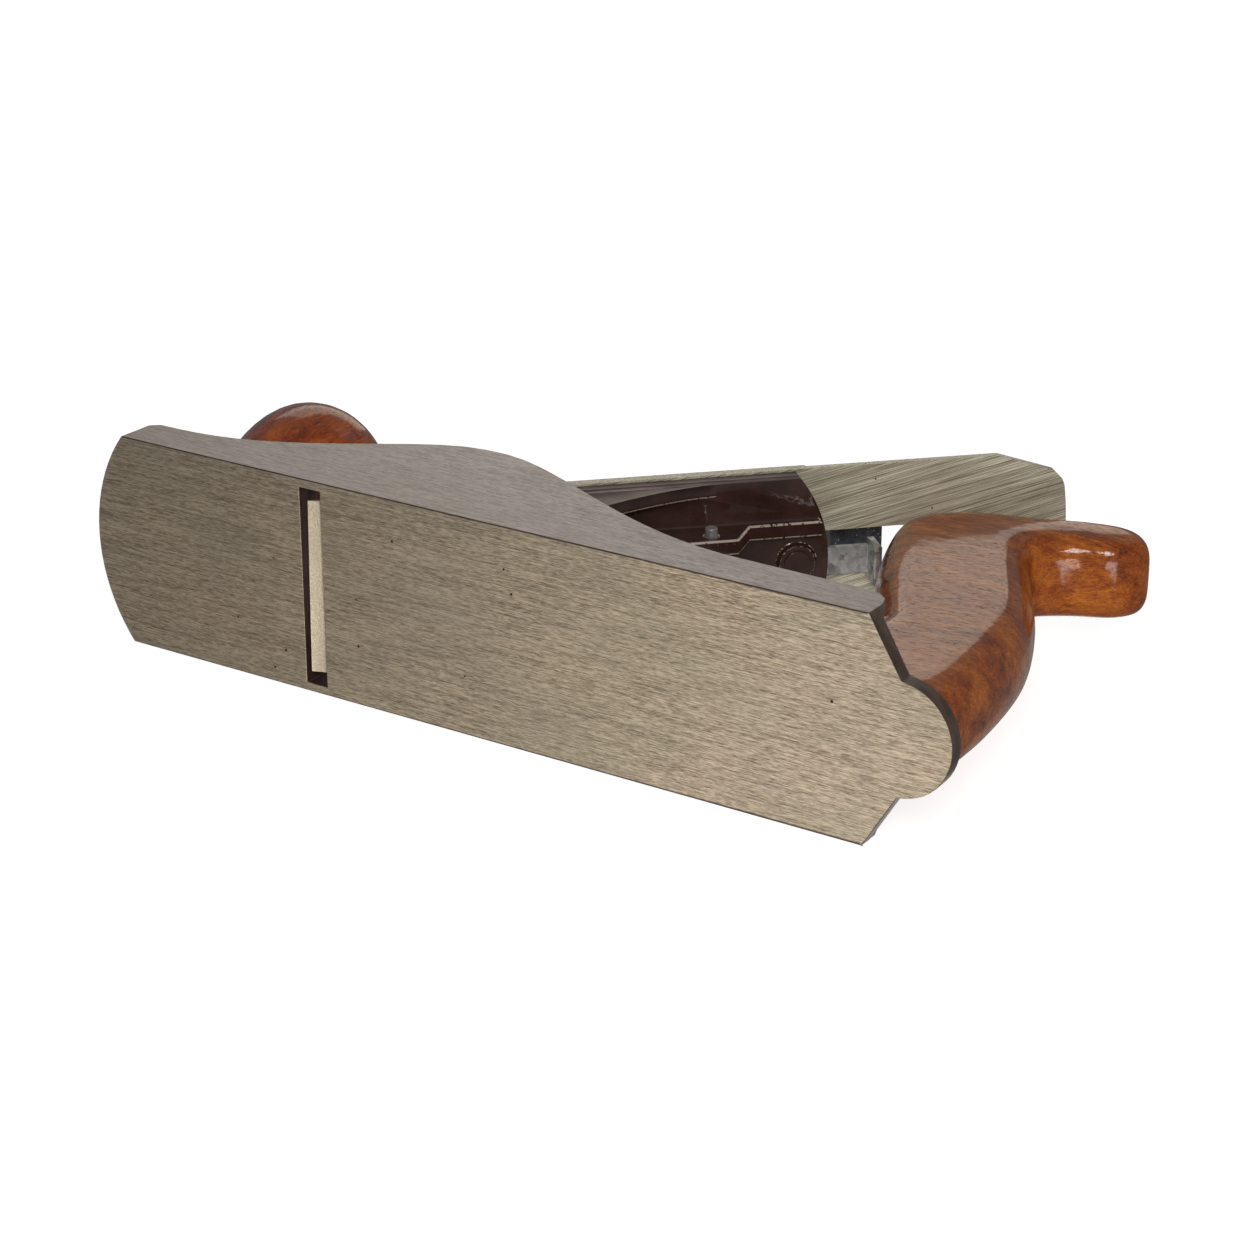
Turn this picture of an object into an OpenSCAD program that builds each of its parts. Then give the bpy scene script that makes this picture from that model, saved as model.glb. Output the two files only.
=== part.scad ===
// Metal smoothing plane: cast body, sliding frog, double iron, lever cap, wooden knob and tote.
// X runs to the left cheek, Y to the heel and Z up. The origin is on the sole, under its middle.

/* [Body casting] */
// Overall length, toe to tail
body_l = 246; // [238:1:256]
// Width over both cheeks
body_w = 56; // [55:0.5:60]
// Thickness of the sole
sole_t = 4.2; // [3.8:0.1:4.6]
// Thickness of each cheek
cheek_t = 2.8; // [2.4:0.1:3]
// How far the toe arc stands in front of its corners
toe_rise = 9.8; // [6:0.2:14]
// Height of the cheeks at the toe
toe_z = 12.5; // [10:0.5:15]
// Height of the cheeks at the heel
heel_z = 12.4; // [10:0.2:15]
// Height of the cheeks beside the frog
hump_z = 42.3; // [36:0.5:46]
// Distance of the highest point behind the foot of the bed
hump_back = 24.5; // [20:0.5:29]
// Length of the sweep from the highest point down to the heel
sweep_l = 89; // [80:1:92]
// Length of the rounded tail behind the cheeks
tail_l = 21.5; // [18:0.5:26]
// Radius of the tail
tail_r = 14; // [13:0.1:15]
// How far the round of the tail stands toward the left cheek
tail_shift = 0; // [0:0.1:1.5]
// Depth of the cast pockets in the floor
pocket_depth = 1; // [0.6:0.1:1.4]

/* [Mouth and bed] */
// Length of the mouth along the sole
mouth_gap = 6.3; // [5.8:0.1:7]
// Free width beside the iron in the mouth
mouth_side = 3.2; // [2.8:0.1:3.4]
// Angle of the bed above the sole
bed_angle = 45; // [44:0.5:46]
// Free space at the sole between the iron and the back of the mouth
mouth_back = 1.8; // [1.4:0.1:2.2]

/* [Irons] */
// Width of the cutting iron
iron_w = 45; // [43:0.5:46]
// Length of the cutting iron
iron_l = 194.5; // [184:0.5:197]
// Thickness of the cutting iron
iron_t = 2.1; // [1.9:0.1:2.4]
// Grinding angle of the bevel
bevel_angle = 25; // [22:1:32]
// How far the edge is out of square
edge_skew = 0.9; // [0:0.1:1.5]
// Width of the slot in the iron
slot_w = 11.2; // [10.8:0.1:12]
// Thickness of the cap iron
cap_iron_t = 1.8; // [1.4:0.1:2]
// Length of the cap iron
cap_iron_l = 129; // [124:0.5:131]
// Height of the hump at the lower end of the cap iron
hump_h = 3; // [2:0.1:3.2]

/* [Frog] */
// Width of the frog
frog_w = 44; // [42:0.5:45]
// Length of the bed face, from the sole
frog_l = 127.8; // [126:0.2:130]
// Thickness of the bed plate
plate_t = 5.5; // [5:0.1:6]
// Thickness of the side walls
wall_t = 3.5; // [3:0.1:4]
// Thickness of the two middle webs
web_t = 4; // [3.6:0.1:4.4]
// Height of the seat for the frog
seat_z = 12; // [11.6:0.1:12.4]
// Thickness of the foot
foot_t = 6; // [5:0.1:6.6]
// Diameter of the frog screws
frog_screw_d = 5; // [4:0.1:5.4]

/* [Adjusters] */
// Diameter of the depth nut
nut_d = 28; // [24:0.5:30]
// Diameter of the threaded stud
stud_d = 6; // [5:0.1:6.4]
// Height of the stud above the sole
stud_z = 30; // [29:0.2:31.5]
// Diameter of the yoke pin
yoke_pin_d = 3.2; // [2.6:0.1:4]
// How far the yoke pin stands out of the web
yoke_pin_out = 2.2; // [1:0.2:5]
// Width of the lateral lever
lateral_w = 7.4; // [6.4:0.2:8.4]
// How far its stem stands to the right of the middle
lateral_shift = 1.9; // [0:0.1:2.4]
// How far its stem reaches past the frog
stem_out = 13.2; // [10:0.2:14]
// Diameter of the roller in the slot
roller_d = 10.4; // [9.6:0.1:10.5]

/* [Lever cap] */
// Width of the lever cap
lever_cap_w = 41; // [38:0.5:43]
// Thickness of the lever cap
lever_cap_t = 4.4; // [4:0.1:5]
// Diameter of the lever cap screw
cap_screw_d = 6; // [5:0.1:6.4]
// Diameter of the cam lever pin
cam_pin_d = 3.4; // [2.6:0.1:4]
// Reach of the cam lever from its pin
cam_reach = 20; // [16:0.5:22]

/* [Knob] */
// Height of the knob
knob_h = 72; // [64:0.5:78]
// Largest diameter of the knob
knob_d = 43; // [38:0.5:46]
// Diameter of its foot
knob_foot_d = 34; // [30:0.5:36]
// Diameter of its waist
knob_waist_d = 25; // [20:0.5:28]
// Distance of the knob from the toe tip
knob_from_toe = 21.4; // [20:0.2:25]

/* [Tote] */
// Height of the tote
tote_h = 122; // [112:0.5:126]
// Length of its base
tote_l = 77; // [74:0.5:78]
// Thickness of the tote
tote_t = 24; // [21:0.5:26]
// Rounding of its grip edges
tote_round = 10.4; // [8:0.1:10.4]
// Free space between the iron and the top of the tote
tote_gap = 6; // [5:0.5:9]
// Distance of the tote from the tail
tote_from_tail = 3; // [2:0.5:5]
// Lean of the rod toward the toe
rod_lean = 15; // [13:0.5:16]
// Diameter of the wood rods
rod_d = 6; // [5:0.1:6.6]
// Diameter of the brass rod nuts
rod_nut_d = 12.5; // [11:0.1:13.5]

/* [Clearances] */
// Between parts that slide on each other
slide_gap = 0.1; // [0.08:0.01:0.2]
// Radial, of pins and threads in their holes
pin_gap = 0.05; // [0.03:0.01:0.08]
// Around pieces that drop into a recess
drop_gap = 0.2; // [0.1:0.05:0.3]

/* [Hidden] */
$fn = 64;
eps = 0.01;

iron_colour = "#a39a86";
maroon = "#4a2222";
wood = "#8a4a20";
steel = "#b8b8b4";
zinc = "#c4c8ca";
brass = "#c8a24a";
cap_colour = "#8f9294";

// Places along the body
toe_y = -body_l / 2;
tail_y = body_l / 2;
toe_corner_y = toe_y + toe_rise;
heel_corner_y = tail_y - tail_l;
half_w = body_w / 2;
inner_w = half_w - cheek_t;

// Places along the bed, measured from where it meets the sole. The adjusters hang from its top
stem_end_s = frog_l + stem_out;
rivet_s = frog_l - 8.3;
roller_s = rivet_s - 9.5;
yoke_s = roller_s - 14.2;
cap_screw_s = yoke_s - 17.8;
lever_screw_s = cap_screw_s - 20;
slot_low_s = lever_screw_s - 16;
slot_high_s = 148;
spring_rivet_s = 88;
thumb_deep = 8.6;
thumb_clear = 1.4;

// The tote stands at the tail, the iron and the lateral lever clear it, and the mouth follows the iron
tote_top = [0.834, 0.775];
tote_back_y = tail_y - tote_from_tail;
tote_front_y = tote_back_y - tote_top[0] * tote_l;
bed_y = min(tote_front_y - tote_gap / sin(bed_angle) - (sole_t + tote_top[1] * tote_h) / tan(bed_angle),
    tote_front_y - thumb_clear - stem_end_s * cos(bed_angle) - thumb_deep * sin(bed_angle));
hump_y = bed_y + hump_back;
mouth_rear_y = bed_y + mouth_back;
mouth_front_y = mouth_rear_y - mouth_gap;
knob_y = toe_y + knob_from_toe;
mouth_half = iron_w / 2 + mouth_side;

// Places above and below the bed
edge_s = -iron_t;
frog_top_r = 36;
yoke_n = -13;
rivet_back_n = -plate_t - 4.5;
cap_n = iron_t + cap_iron_t;
finger_tip_n = iron_t + 0.3;
finger_r = 2;
bed_gap = 0.05;

function bed_pt(s, n) = [bed_y + s * cos(bed_angle) - n * sin(bed_angle),
    s * sin(bed_angle) + n * cos(bed_angle)];
yoke_pivot = bed_pt(yoke_s, yoke_n);
back_of_plate = plate_t * sqrt(2);

// Places behind the frog
seat_front_y = bed_y + seat_z + 10.5;
seat_l = 37;
seat_rear_y = seat_front_y + seat_l;
frog_travel = 1.2;
foot_z = seat_z + slide_gap;
foot_front_y = bed_y + back_of_plate + foot_z - 3;
foot_rear_y = seat_rear_y + frog_travel + 0.4;
frog_screw_x = 13;
frog_screw_y = seat_front_y + 11;
groove_y = yoke_pivot[0];
groove_w = 5.4;
hub_d = 17;
neck_d = 12;
adjust_z = sole_t + 3.8;
adjust_d = 5;
adjust_neck_d = 3.4;
adjust_head_d = 7.2;
clip_t = 1.5;
key_w = 6;
key_h = 1.4;

module on_bed() translate([0, bed_y, 0]) rotate([bed_angle, 0, 0]) children();
module across(x0, x1) translate([x0, 0, 0]) rotate([90, 0, 90]) linear_extrude(x1 - x0) children();
module along_y(d, y0, y1, x, z) translate([x, y0, z]) rotate([-90, 0, 0]) cylinder(d = d, h = y1 - y0);
module along_x(d, x0, x1, y, z) translate([x0, y, z]) rotate([0, 90, 0]) cylinder(d = d, h = x1 - x0);
module both_sides() for (side = [-1, 1]) scale([side, 1, 1]) children();
module slot_hole(d, travel, h) {
    for (e = [-1, 1]) translate([0, e * travel, 0]) cylinder(d = d, h = h);
    translate([-d / 2, -travel, 0]) cube([d, 2 * travel, h]);
}

function smooth_step(u) = u * u * (3 - 2 * u);
function lift(t, p) = smooth_step(pow(t, p));
function bend(a, b, c, d, t) = 0.5 * (2 * b + (c - a) * t + (2 * a - 5 * b + 4 * c - d) * t * t
    + (3 * b - a - 3 * c + d) * t * t * t);
function spline(p, k) = concat(
    [for (i = [0 : len(p) - 2]) for (j = [0 : k - 1])
        bend(p[max(i - 1, 0)], p[i], p[i + 1], p[min(i + 2, len(p) - 1)], j / k)],
    [p[len(p) - 1]]);

// Plan of the sole: arc at the toe, straight sides, diagonals in to a rounded tail
toe_r = (half_w * half_w + toe_rise * toe_rise) / (2 * toe_rise);
module plan() {
    intersection() {
        translate([0, toe_y + toe_r]) circle(toe_r, $fn = 180);
        translate([-half_w, toe_y - 1]) square([body_w, toe_rise + 1 + eps]);
    }
    translate([-half_w, toe_corner_y]) square([body_w, heel_corner_y - toe_corner_y]);
    polygon([[-half_w, heel_corner_y - eps], [half_w, heel_corner_y - eps],
        [tail_shift + tail_r - 0.3, heel_corner_y + 8.6], [tail_shift - tail_r + 0.3, heel_corner_y + 8.6]]);
    translate([tail_shift - tail_r + 0.5, heel_corner_y]) square([2 * tail_r - 1, 9]);
    translate([tail_shift, tail_y - tail_r]) circle(tail_r, $fn = 96);
}

// Side view of a cheek: low toe, hump beside the frog, long sweep down to a low heel
front_run = hump_y - 3 - toe_corner_y;
cheek_steps = 14;
cheek_side = concat(
    [[toe_corner_y, 0], [toe_corner_y, toe_z - 2], [toe_corner_y + 2.4, toe_z]],
    [for (i = [1 : cheek_steps]) let (t = i / cheek_steps)
        [toe_corner_y + 2.4 + t * (front_run - 2.4), toe_z + (hump_z - toe_z) * lift(t, 1.4)]],
    [for (i = [0 : cheek_steps]) let (t = i / cheek_steps)
        [hump_y + 3 + t * (sweep_l - 3), hump_z - (hump_z - heel_z - 0.6) * lift(t, 0.8)]],
    [[heel_corner_y - 8, heel_z], [heel_corner_y - 3.5, heel_z - 0.9],
        [heel_corner_y - 1, heel_z - 3], [heel_corner_y, heel_z - 6], [heel_corner_y, 0]]);

module floor_pockets() {
    translate([0, 0, sole_t - pocket_depth]) linear_extrude(2) {
        difference() {
            offset_plan(4.5);
            translate([-body_w, mouth_front_y - lip_l]) square([2 * body_w, body_l]);
            translate([0, knob_y]) circle(d = knob_foot_d + 5);
        }
        for (side = [-1, 1]) translate([side * (inner_w - 8.5) - 4, seat_rear_y + 6]) square([8, 34]);
    }
}
module offset_plan(m) {
    intersection() {
        translate([0, toe_y + toe_r]) circle(toe_r - m, $fn = 180);
        translate([-inner_w + 3, toe_y]) square([2 * inner_w - 6, body_l / 2]);
    }
}

lip_l = 3.6;
lip_h = 2.4;
boss_d = 16;
boss_h = 3.6;
rod_foot_y = tail_y - 20;
module on_rod() translate([0, rod_foot_y, sole_t]) rotate([rod_lean, 0, 0]) children();

module sole_body() color(iron_colour) difference() {
    union() {
        linear_extrude(sole_t) plan();
        for (x = [-half_w, inner_w]) across(x, x + cheek_t) polygon(cheek_side);
        across(-inner_w - eps, inner_w + eps) polygon([[mouth_front_y - lip_l, sole_t - eps],
            [mouth_front_y - lip_l / 2, sole_t + lip_h], [mouth_front_y, sole_t + lip_h],
            [mouth_front_y, sole_t - eps]]);
        translate([-frog_w / 2 + 2, seat_front_y, sole_t - eps])
            cube([frog_w - 4, seat_rear_y - seat_front_y, seat_z - sole_t + eps]);
        translate([-key_w / 2, seat_front_y + 4, seat_z - eps]) cube([key_w, seat_l - 8, key_h]);
        translate([0, knob_y, sole_t - eps]) cylinder(d = boss_d, h = boss_h);
        translate([0, rod_foot_y, sole_t - eps]) cylinder(d = boss_d, h = boss_h);
    }
    across(-mouth_half, mouth_half) polygon([[mouth_front_y, -1], [mouth_rear_y - 1, -1],
        [mouth_rear_y + 9, 9], [mouth_front_y, 9]]);
    for (x = [-frog_screw_x, frog_screw_x]) translate([x, frog_screw_y, 2.6])
        cylinder(d = frog_screw_d + 2 * pin_gap, h = seat_z);
    along_y(adjust_d + 2 * pin_gap, seat_rear_y - seat_l / 2 - 4, seat_rear_y + 1, 0, adjust_z);
    translate([0, knob_y, 1.4]) cylinder(d = rod_d + 2 * pin_gap, h = 12);
    on_rod() translate([0, 0, -2]) cylinder(d = rod_d + 2 * pin_gap, h = 12);
    floor_pockets();
}

// Wooden knob: bead at the foot, narrow waist, round head
knob_head_z = knob_h * 0.78;
knob_profile = concat(
    [for (a = [-90 : 22.5 : 90]) [knob_foot_d / 2 - 2 + 2 * cos(a), 2 + 2 * sin(a)]],
    [for (i = [1 : 6]) let (t = i / 6, foot_r = knob_foot_d / 2 - 2)
        [foot_r + (knob_waist_d / 2 - foot_r) * smooth_step(t), 4 + t * knob_h * 0.26]],
    [for (i = [1 : 10]) let (t = i / 10, z0 = 4 + knob_h * 0.26)
        [knob_waist_d / 2 + (knob_d - knob_waist_d) / 2 * lift(t, 0.9), z0 + t * (knob_head_z - z0)]],
    [for (a = [9 : 9 : 63]) [rod_nut_d / 2 + 1 + (knob_d / 2 - rod_nut_d / 2 - 1) * cos(a),
        knob_head_z + (knob_h - knob_head_z) * sin(a)]],
    [[rod_nut_d / 2 + 3, knob_h - 0.6], [rod_nut_d / 2 + drop_gap, knob_h]]);
nut_head_h = 3.4;
nut_shank_d = 9;
nut_shank_l = 14;
module front_knob() color(wood) translate([0, knob_y, sole_t]) difference() {
    rotate_extrude($fn = 96) polygon(concat([[0, 0]], knob_profile, [[0, knob_h]]));
    translate([0, 0, -1]) cylinder(d = rod_d + 0.8, h = knob_h + 2);
    translate([0, 0, -1]) cylinder(d = boss_d + 2 * drop_gap, h = boss_h + 1.2);
    nut_pocket(knob_h);
}
module nut_pocket(top) {
    translate([0, 0, top - nut_head_h - 1]) cylinder(d = rod_nut_d + 2 * drop_gap, h = 30);
    translate([0, 0, top - nut_head_h - 1.5 - nut_shank_l])
        cylinder(d = nut_shank_d + 2 * drop_gap, h = nut_shank_l + 2);
}

// Round brass nut with a screwdriver slot; its head sits just below the wood
module rod_nut(top) color(brass) translate([0, 0, top - 1]) difference() {
    rotate_extrude() polygon([[rod_d / 2 + pin_gap, -nut_head_h - nut_shank_l],
        [nut_shank_d / 2, -nut_head_h - nut_shank_l], [nut_shank_d / 2, -nut_head_h],
        [rod_nut_d / 2, -nut_head_h], [rod_nut_d / 2, -0.8],
        [rod_nut_d / 2 - 0.8, 0], [2.2, 0.5], [0, 0.6], [0, -2.4], [rod_d / 2 + pin_gap, -2.4]]);
    translate([-rod_nut_d, -0.7, -1.4]) cube([2 * rod_nut_d, 1.4, 4]);
}
rod_short = 3.6;
module knob_stud() color(steel) translate([0, knob_y, 1.6])
    cylinder(d = rod_d, h = sole_t + knob_h - rod_short - 1.6);
module knob_nut() translate([0, knob_y, sole_t]) rod_nut(knob_h);

// Side view of the tote: share of its base length from the tail end, share of its height,
// share of the full rounding, share of the full thickness
tote_side = [[1, 0, 0.1, 0.92], [0.985, 0.04, 0.1, 0.92], [0.84, 0.085, 0.4, 0.96], [0.66, 0.142, 0.7, 1],
    [0.505, 0.25, 1, 1], [0.58, 0.385, 1, 1], [0.708, 0.53, 1, 1], [0.797, 0.665, 0.95, 1],
    [tote_top[0], tote_top[1], 0.8, 1], [0.771, 0.846, 0.7, 1], [0.647, 0.9, 0.65, 1],
    [0.442, 0.942, 0.6, 0.98], [0.252, 0.988, 0.54, 0.95], [0.122, 0.987, 0.52, 0.92],
    [0.053, 0.93, 0.52, 0.9], [0.122, 0.868, 0.52, 0.92], [0.25, 0.835, 0.58, 0.96], [0.345, 0.775, 0.8, 1],
    [0.269, 0.68, 1, 1], [0.15, 0.54, 1, 1], [0.058, 0.392, 1, 1], [0.014, 0.244, 1, 1], [0, 0.1, 0.9, 1],
    [0.006, 0, 0.8, 1]];
tote_steps = 3;
tote_line = spline([for (p = tote_side) [tote_back_y - p[0] * tote_l, sole_t + p[1] * tote_h]], tote_steps);
tote_rounds = spline([for (p = tote_side) p[2] * tote_round], tote_steps);
tote_halves = spline([for (p = tote_side) p[3] * tote_t / 2], tote_steps);
tote_n = len(tote_line);
function turn_left(v) = let (l = norm(v)) [-v[1] / l, v[0] / l];
function inward(i) = i == 0 ? [1, 0] : i == tote_n - 1 ? [-1, 0]
    : -turn_left(tote_line[i + 1] - tote_line[i - 1]);
tote_rings = concat([for (a = [90 : -18 : 0]) [-1, a]], [for (a = [0 : 18 : 90]) [1, a]]);
module tote_blank() {
    points = [for (ring = tote_rings) for (i = [0 : tote_n - 1])
        let (r = tote_rounds[i], p = tote_line[i] + inward(i) * r * (1 - cos(ring[1])))
            [ring[0] * (tote_halves[i] - r + r * sin(ring[1])), p[0], p[1]]];
    sides = [for (k = [0 : len(tote_rings) - 2]) for (i = [0 : tote_n - 1])
        let (j = (i + 1) % tote_n, a = k * tote_n, b = a + tote_n)
            each [[a + i, a + j, b + j], [a + i, b + j, b + i]]];
    caps = [[for (i = [tote_n - 1 : -1 : 0]) i],
        [for (i = [0 : tote_n - 1]) (len(tote_rings) - 1) * tote_n + i]];
    polyhedron(points, concat(sides, caps), convexity = 6);
}
rod_top = (tote_h * 0.905) / cos(rod_lean);
module tote() color(wood) difference() {
    tote_blank();
    on_rod() translate([0, 0, -10]) cylinder(d = rod_d + 0.8, h = tote_h * 2);
    translate([0, rod_foot_y, sole_t - 1]) cylinder(d = boss_d + 2 * drop_gap, h = boss_h + 1.2);
    on_rod() nut_pocket(rod_top);
}
module tote_rod() color(steel) on_rod() translate([0, 0, -1])
    cylinder(d = rod_d, h = rod_top + 1 - rod_short);
module tote_nut() on_rod() rod_nut(rod_top);

module frog_screws() color(steel) for (x = [-frog_screw_x, frog_screw_x]) translate([x, frog_screw_y, 0]) {
    difference() {
        union() {
            translate([0, 0, 3]) cylinder(d = frog_screw_d, h = screw_seat_z - 3 + eps);
            translate([0, 0, screw_seat_z]) cylinder(d = frog_head_d, h = frog_head_h);
        }
        translate([-6, -0.6, screw_seat_z + frog_head_h - 1.2]) cube([12, 1.2, 3]);
    }
}
washer_t = 1.2;
washer_d = 10;
frog_head_d = 8.4;
frog_head_h = 3.2;
washer_z = foot_z + foot_t + slide_gap;
screw_seat_z = washer_z + washer_t;
module frog_washers() color(zinc) for (x = [-frog_screw_x, frog_screw_x])
    translate([x, frog_screw_y, washer_z]) difference() {
        cylinder(d = washer_d, h = washer_t);
        translate([0, 0, -1]) cylinder(d = frog_screw_d + 0.3, h = washer_t + 2);
    }

// Frog: bed plate with side walls, two middle webs, a foot and the bosses of its screws
wall_deep = 10.5;
wall_low_s = 67;
wall_high_s = 99;
wall_side = concat(
    [[foot_front_y, foot_z], [foot_rear_y, foot_z], [foot_rear_y, foot_z + 21]],
    [for (i = [0 : 8]) let (s = wall_low_s + i / 8 * (wall_high_s - wall_low_s))
        bed_pt(s, -plate_t - wall_deep * pow((wall_high_s - s) / (wall_high_s - wall_low_s), 1.6))],
    [bed_pt(wall_high_s, -2), bed_pt(16, -2)]);
web_side = [[foot_front_y, foot_z], [foot_rear_y, foot_z], [foot_rear_y, foot_z + 23],
    bed_pt(yoke_s - 8, yoke_n - 4), bed_pt(yoke_s + 6, yoke_n - 4), bed_pt(yoke_s + 11, -plate_t - 3),
    bed_pt(frog_l - 2.5, -plate_t - 3), bed_pt(frog_l - 2.5, -2), bed_pt(16, -2)];
web_in = 7.5;
stud_in = 8;
module frog() color(maroon) difference() {
    union() {
        on_bed() translate([0, 0, -plate_t]) linear_extrude(plate_t - bed_gap) intersection() {
            translate([-frog_w / 2, 0]) square([frog_w, frog_l]);
            union() {
                translate([0, frog_l - frog_top_r]) circle(frog_top_r, $fn = 160);
                translate([-frog_w, -60]) square([2 * frog_w, 60 + frog_l - frog_top_r]);
            }
        }
        across(-frog_w / 2, wall_t - frog_w / 2) polygon(wall_side);
        across(frog_w / 2 - wall_t, frog_w / 2) polygon(wall_side);
        across(-web_in - web_t, -web_in) polygon(web_side);
        across(web_in, web_in + web_t) polygon(web_side);
        across(-frog_w / 2 + 1, frog_w / 2 - 1) polygon([[foot_front_y, foot_z], [foot_rear_y, foot_z],
            [foot_rear_y, foot_z + foot_t], [foot_front_y + 5, foot_z + foot_t]]);
        along_y(15, bed_y + stud_z + 8, foot_rear_y, 0, stud_z);
        on_bed() translate([0, lever_screw_s, -10.5]) cylinder(d = 14, h = 8);
        on_bed() translate([0, rivet_s, rivet_back_n]) cylinder(d = rivet_boss_d, h = -rivet_back_n - 1);
    }
    translate([-body_w, -body_l, -60]) cube([2 * body_w, 2 * body_l, 60 + sole_t + slide_gap]);
    translate([-body_w, seat_front_y - frog_travel, -60]) cube([2 * body_w, body_l, 60 + foot_z]);
    translate([-key_w / 2 - 0.3, seat_front_y - frog_travel, 0])
        cube([key_w + 0.6, body_l, foot_z + key_h + 0.3]);
    for (x = [-frog_screw_x, frog_screw_x]) translate([x, frog_screw_y, 0]) {
        slot_hole(frog_screw_d + 0.6, frog_travel, foot_z + foot_t + 2);
        translate([0, 0, foot_z + foot_t]) slot_hole(washer_d + 1, frog_travel, 40);
    }
    along_y(stud_d + 2 * pin_gap, foot_rear_y - stud_in - 1, foot_rear_y + 1, 0, stud_z);
    along_y(3 + 2 * pin_gap, foot_rear_y - 6, foot_rear_y + 1, 0, foot_z + 4);
    along_x(yoke_pin_d + 2 * pin_gap, -frog_w, frog_w, yoke_pivot[0], yoke_pivot[1]);
    on_bed() {
        translate([0, lever_screw_s, -9]) cylinder(d = cap_screw_d + 2 * pin_gap, h = 12);
        translate([0, rivet_s, rivet_back_n - 1]) cylinder(d = rivet_d + 2 * pin_gap, h = 20);
        translate([0, cap_screw_s + 1.6, -3.8]) slot_hole(18.6, 3.2, 6);
        translate([-web_in + 0.2, yoke_s - 4.6, -plate_t - 1]) cube([2 * web_in - 0.4, 12.2, plate_t + 3]);
        translate([-8.4, yoke_s + 7.4, -2.7]) cube([16.8, frog_l, 6]);
    }
}
module frog_clip() color(zinc) translate([0, foot_rear_y + 0.05, 0]) rotate([90, 0, 0]) mirror([0, 0, 1])
    linear_extrude(clip_t) difference() {
        translate([-6.5, sole_t + 0.5]) square([13, foot_z + foot_t - 1 - sole_t]);
        translate([0, adjust_z]) circle(d = adjust_neck_d + 0.5);
        translate([-adjust_neck_d / 2 - 0.25, 0]) square([adjust_neck_d + 0.5, adjust_z]);
        translate([0, foot_z + 4]) circle(d = 3.3);
    }
module frog_clip_screw() color(steel) difference() {
    union() {
        along_y(3, foot_rear_y - 5, foot_rear_y + clip_t + 0.2, 0, foot_z + 4);
        along_y(5.6, foot_rear_y + clip_t + 0.1, foot_rear_y + clip_t + 2, 0, foot_z + 4);
    }
    translate([-4, foot_rear_y + clip_t + 1.2, foot_z + 3.6]) cube([8, 2, 0.8]);
}
module frog_adjust_screw() color(steel) difference() {
    union() {
        along_y(adjust_d, seat_rear_y - seat_l / 2, foot_rear_y - 0.2, 0, adjust_z);
        along_y(adjust_neck_d, foot_rear_y - 0.3, foot_rear_y + clip_t + 0.3, 0, adjust_z);
        along_y(adjust_head_d, foot_rear_y + clip_t + 0.25, foot_rear_y + clip_t + 3.6, 0, adjust_z);
    }
    translate([-6, foot_rear_y + clip_t + 2.4, adjust_z - 0.5]) cube([12, 3, 1]);
}

// Depth adjuster: stud, brass nut with a groove, and the yoke that turns its travel into feed
stud_out = 20;
module depth_stud() color(steel) along_y(stud_d, foot_rear_y - stud_in, groove_y + stud_out, 0, stud_z);
nut_front_y = groove_y - groove_w / 2 - 1.8;
nut_wheel_y = groove_y + groove_w / 2;
nut_wheel_l = 12;
module depth_nut() color(brass) translate([0, 0, stud_z]) rotate([-90, 0, 0]) rotate_extrude($fn = 96)
    polygon([[stud_d / 2 + pin_gap, nut_front_y], [hub_d / 2, nut_front_y],
        [hub_d / 2, groove_y - groove_w / 2], [neck_d / 2, groove_y - groove_w / 2],
        [neck_d / 2, nut_wheel_y], [nut_d / 2 - 2, nut_wheel_y],
        [nut_d / 2, nut_wheel_y + 1.2], [nut_d / 2, nut_wheel_y + 3.4], [nut_d / 2 - 1.1, nut_wheel_y + 4.2],
        [nut_d / 2 - 1.1, nut_wheel_y + 5.4], [nut_d / 2, nut_wheel_y + 6.2],
        [nut_d / 2, nut_wheel_y + nut_wheel_l - 2.4], [nut_d / 2 - 1.6, nut_wheel_y + nut_wheel_l - 1],
        [nut_d / 2 - 4, nut_wheel_y + nut_wheel_l - 2.6], [6, nut_wheel_y + nut_wheel_l - 2],
        [5.2, nut_wheel_y + nut_wheel_l], [stud_d / 2 + pin_gap, nut_wheel_y + nut_wheel_l]]);

prong_in = neck_d / 2 + 0.4;
prong_out = prong_in + 2.6;
prong_t = 1.8;
arm_z = stud_z + nut_d / 2 + 0.8;
module yoke() color("#6f6a66") difference() {
    union() {
        along_x(9.6, -web_in + 0.5, web_in - 0.5, yoke_pivot[0], yoke_pivot[1]);
        on_bed() {
            translate([-4, yoke_s - finger_r + 0.2, yoke_n])
                cube([8, 2 * finger_r - 0.4, finger_tip_n - yoke_n]);
            translate([-4, yoke_s, finger_tip_n]) rotate([0, 90, 0]) cylinder(r = finger_r, h = 8);
        }
        translate([-4.6, groove_y - 2.4, arm_z]) cube([9.2, 4.8, yoke_pivot[1] - arm_z]);
        translate([-prong_out, groove_y - 1.6, arm_z]) cube([2 * prong_out, 3.2, 3.4]);
        for (x = [-prong_out, prong_in]) {
            translate([x, groove_y - prong_t / 2, stud_z])
                cube([prong_out - prong_in, prong_t, arm_z + 1 - stud_z]);
            along_x(3.2, x, x + prong_out - prong_in, groove_y, stud_z);
        }
    }
    along_x(yoke_pin_d + 2 * pin_gap, -20, 20, yoke_pivot[0], yoke_pivot[1]);
}
module yoke_pin() color(zinc)
    along_x(yoke_pin_d, -web_in - web_t - 0.4, web_in + web_t + yoke_pin_out, yoke_pivot[0], yoke_pivot[1]);

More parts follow.
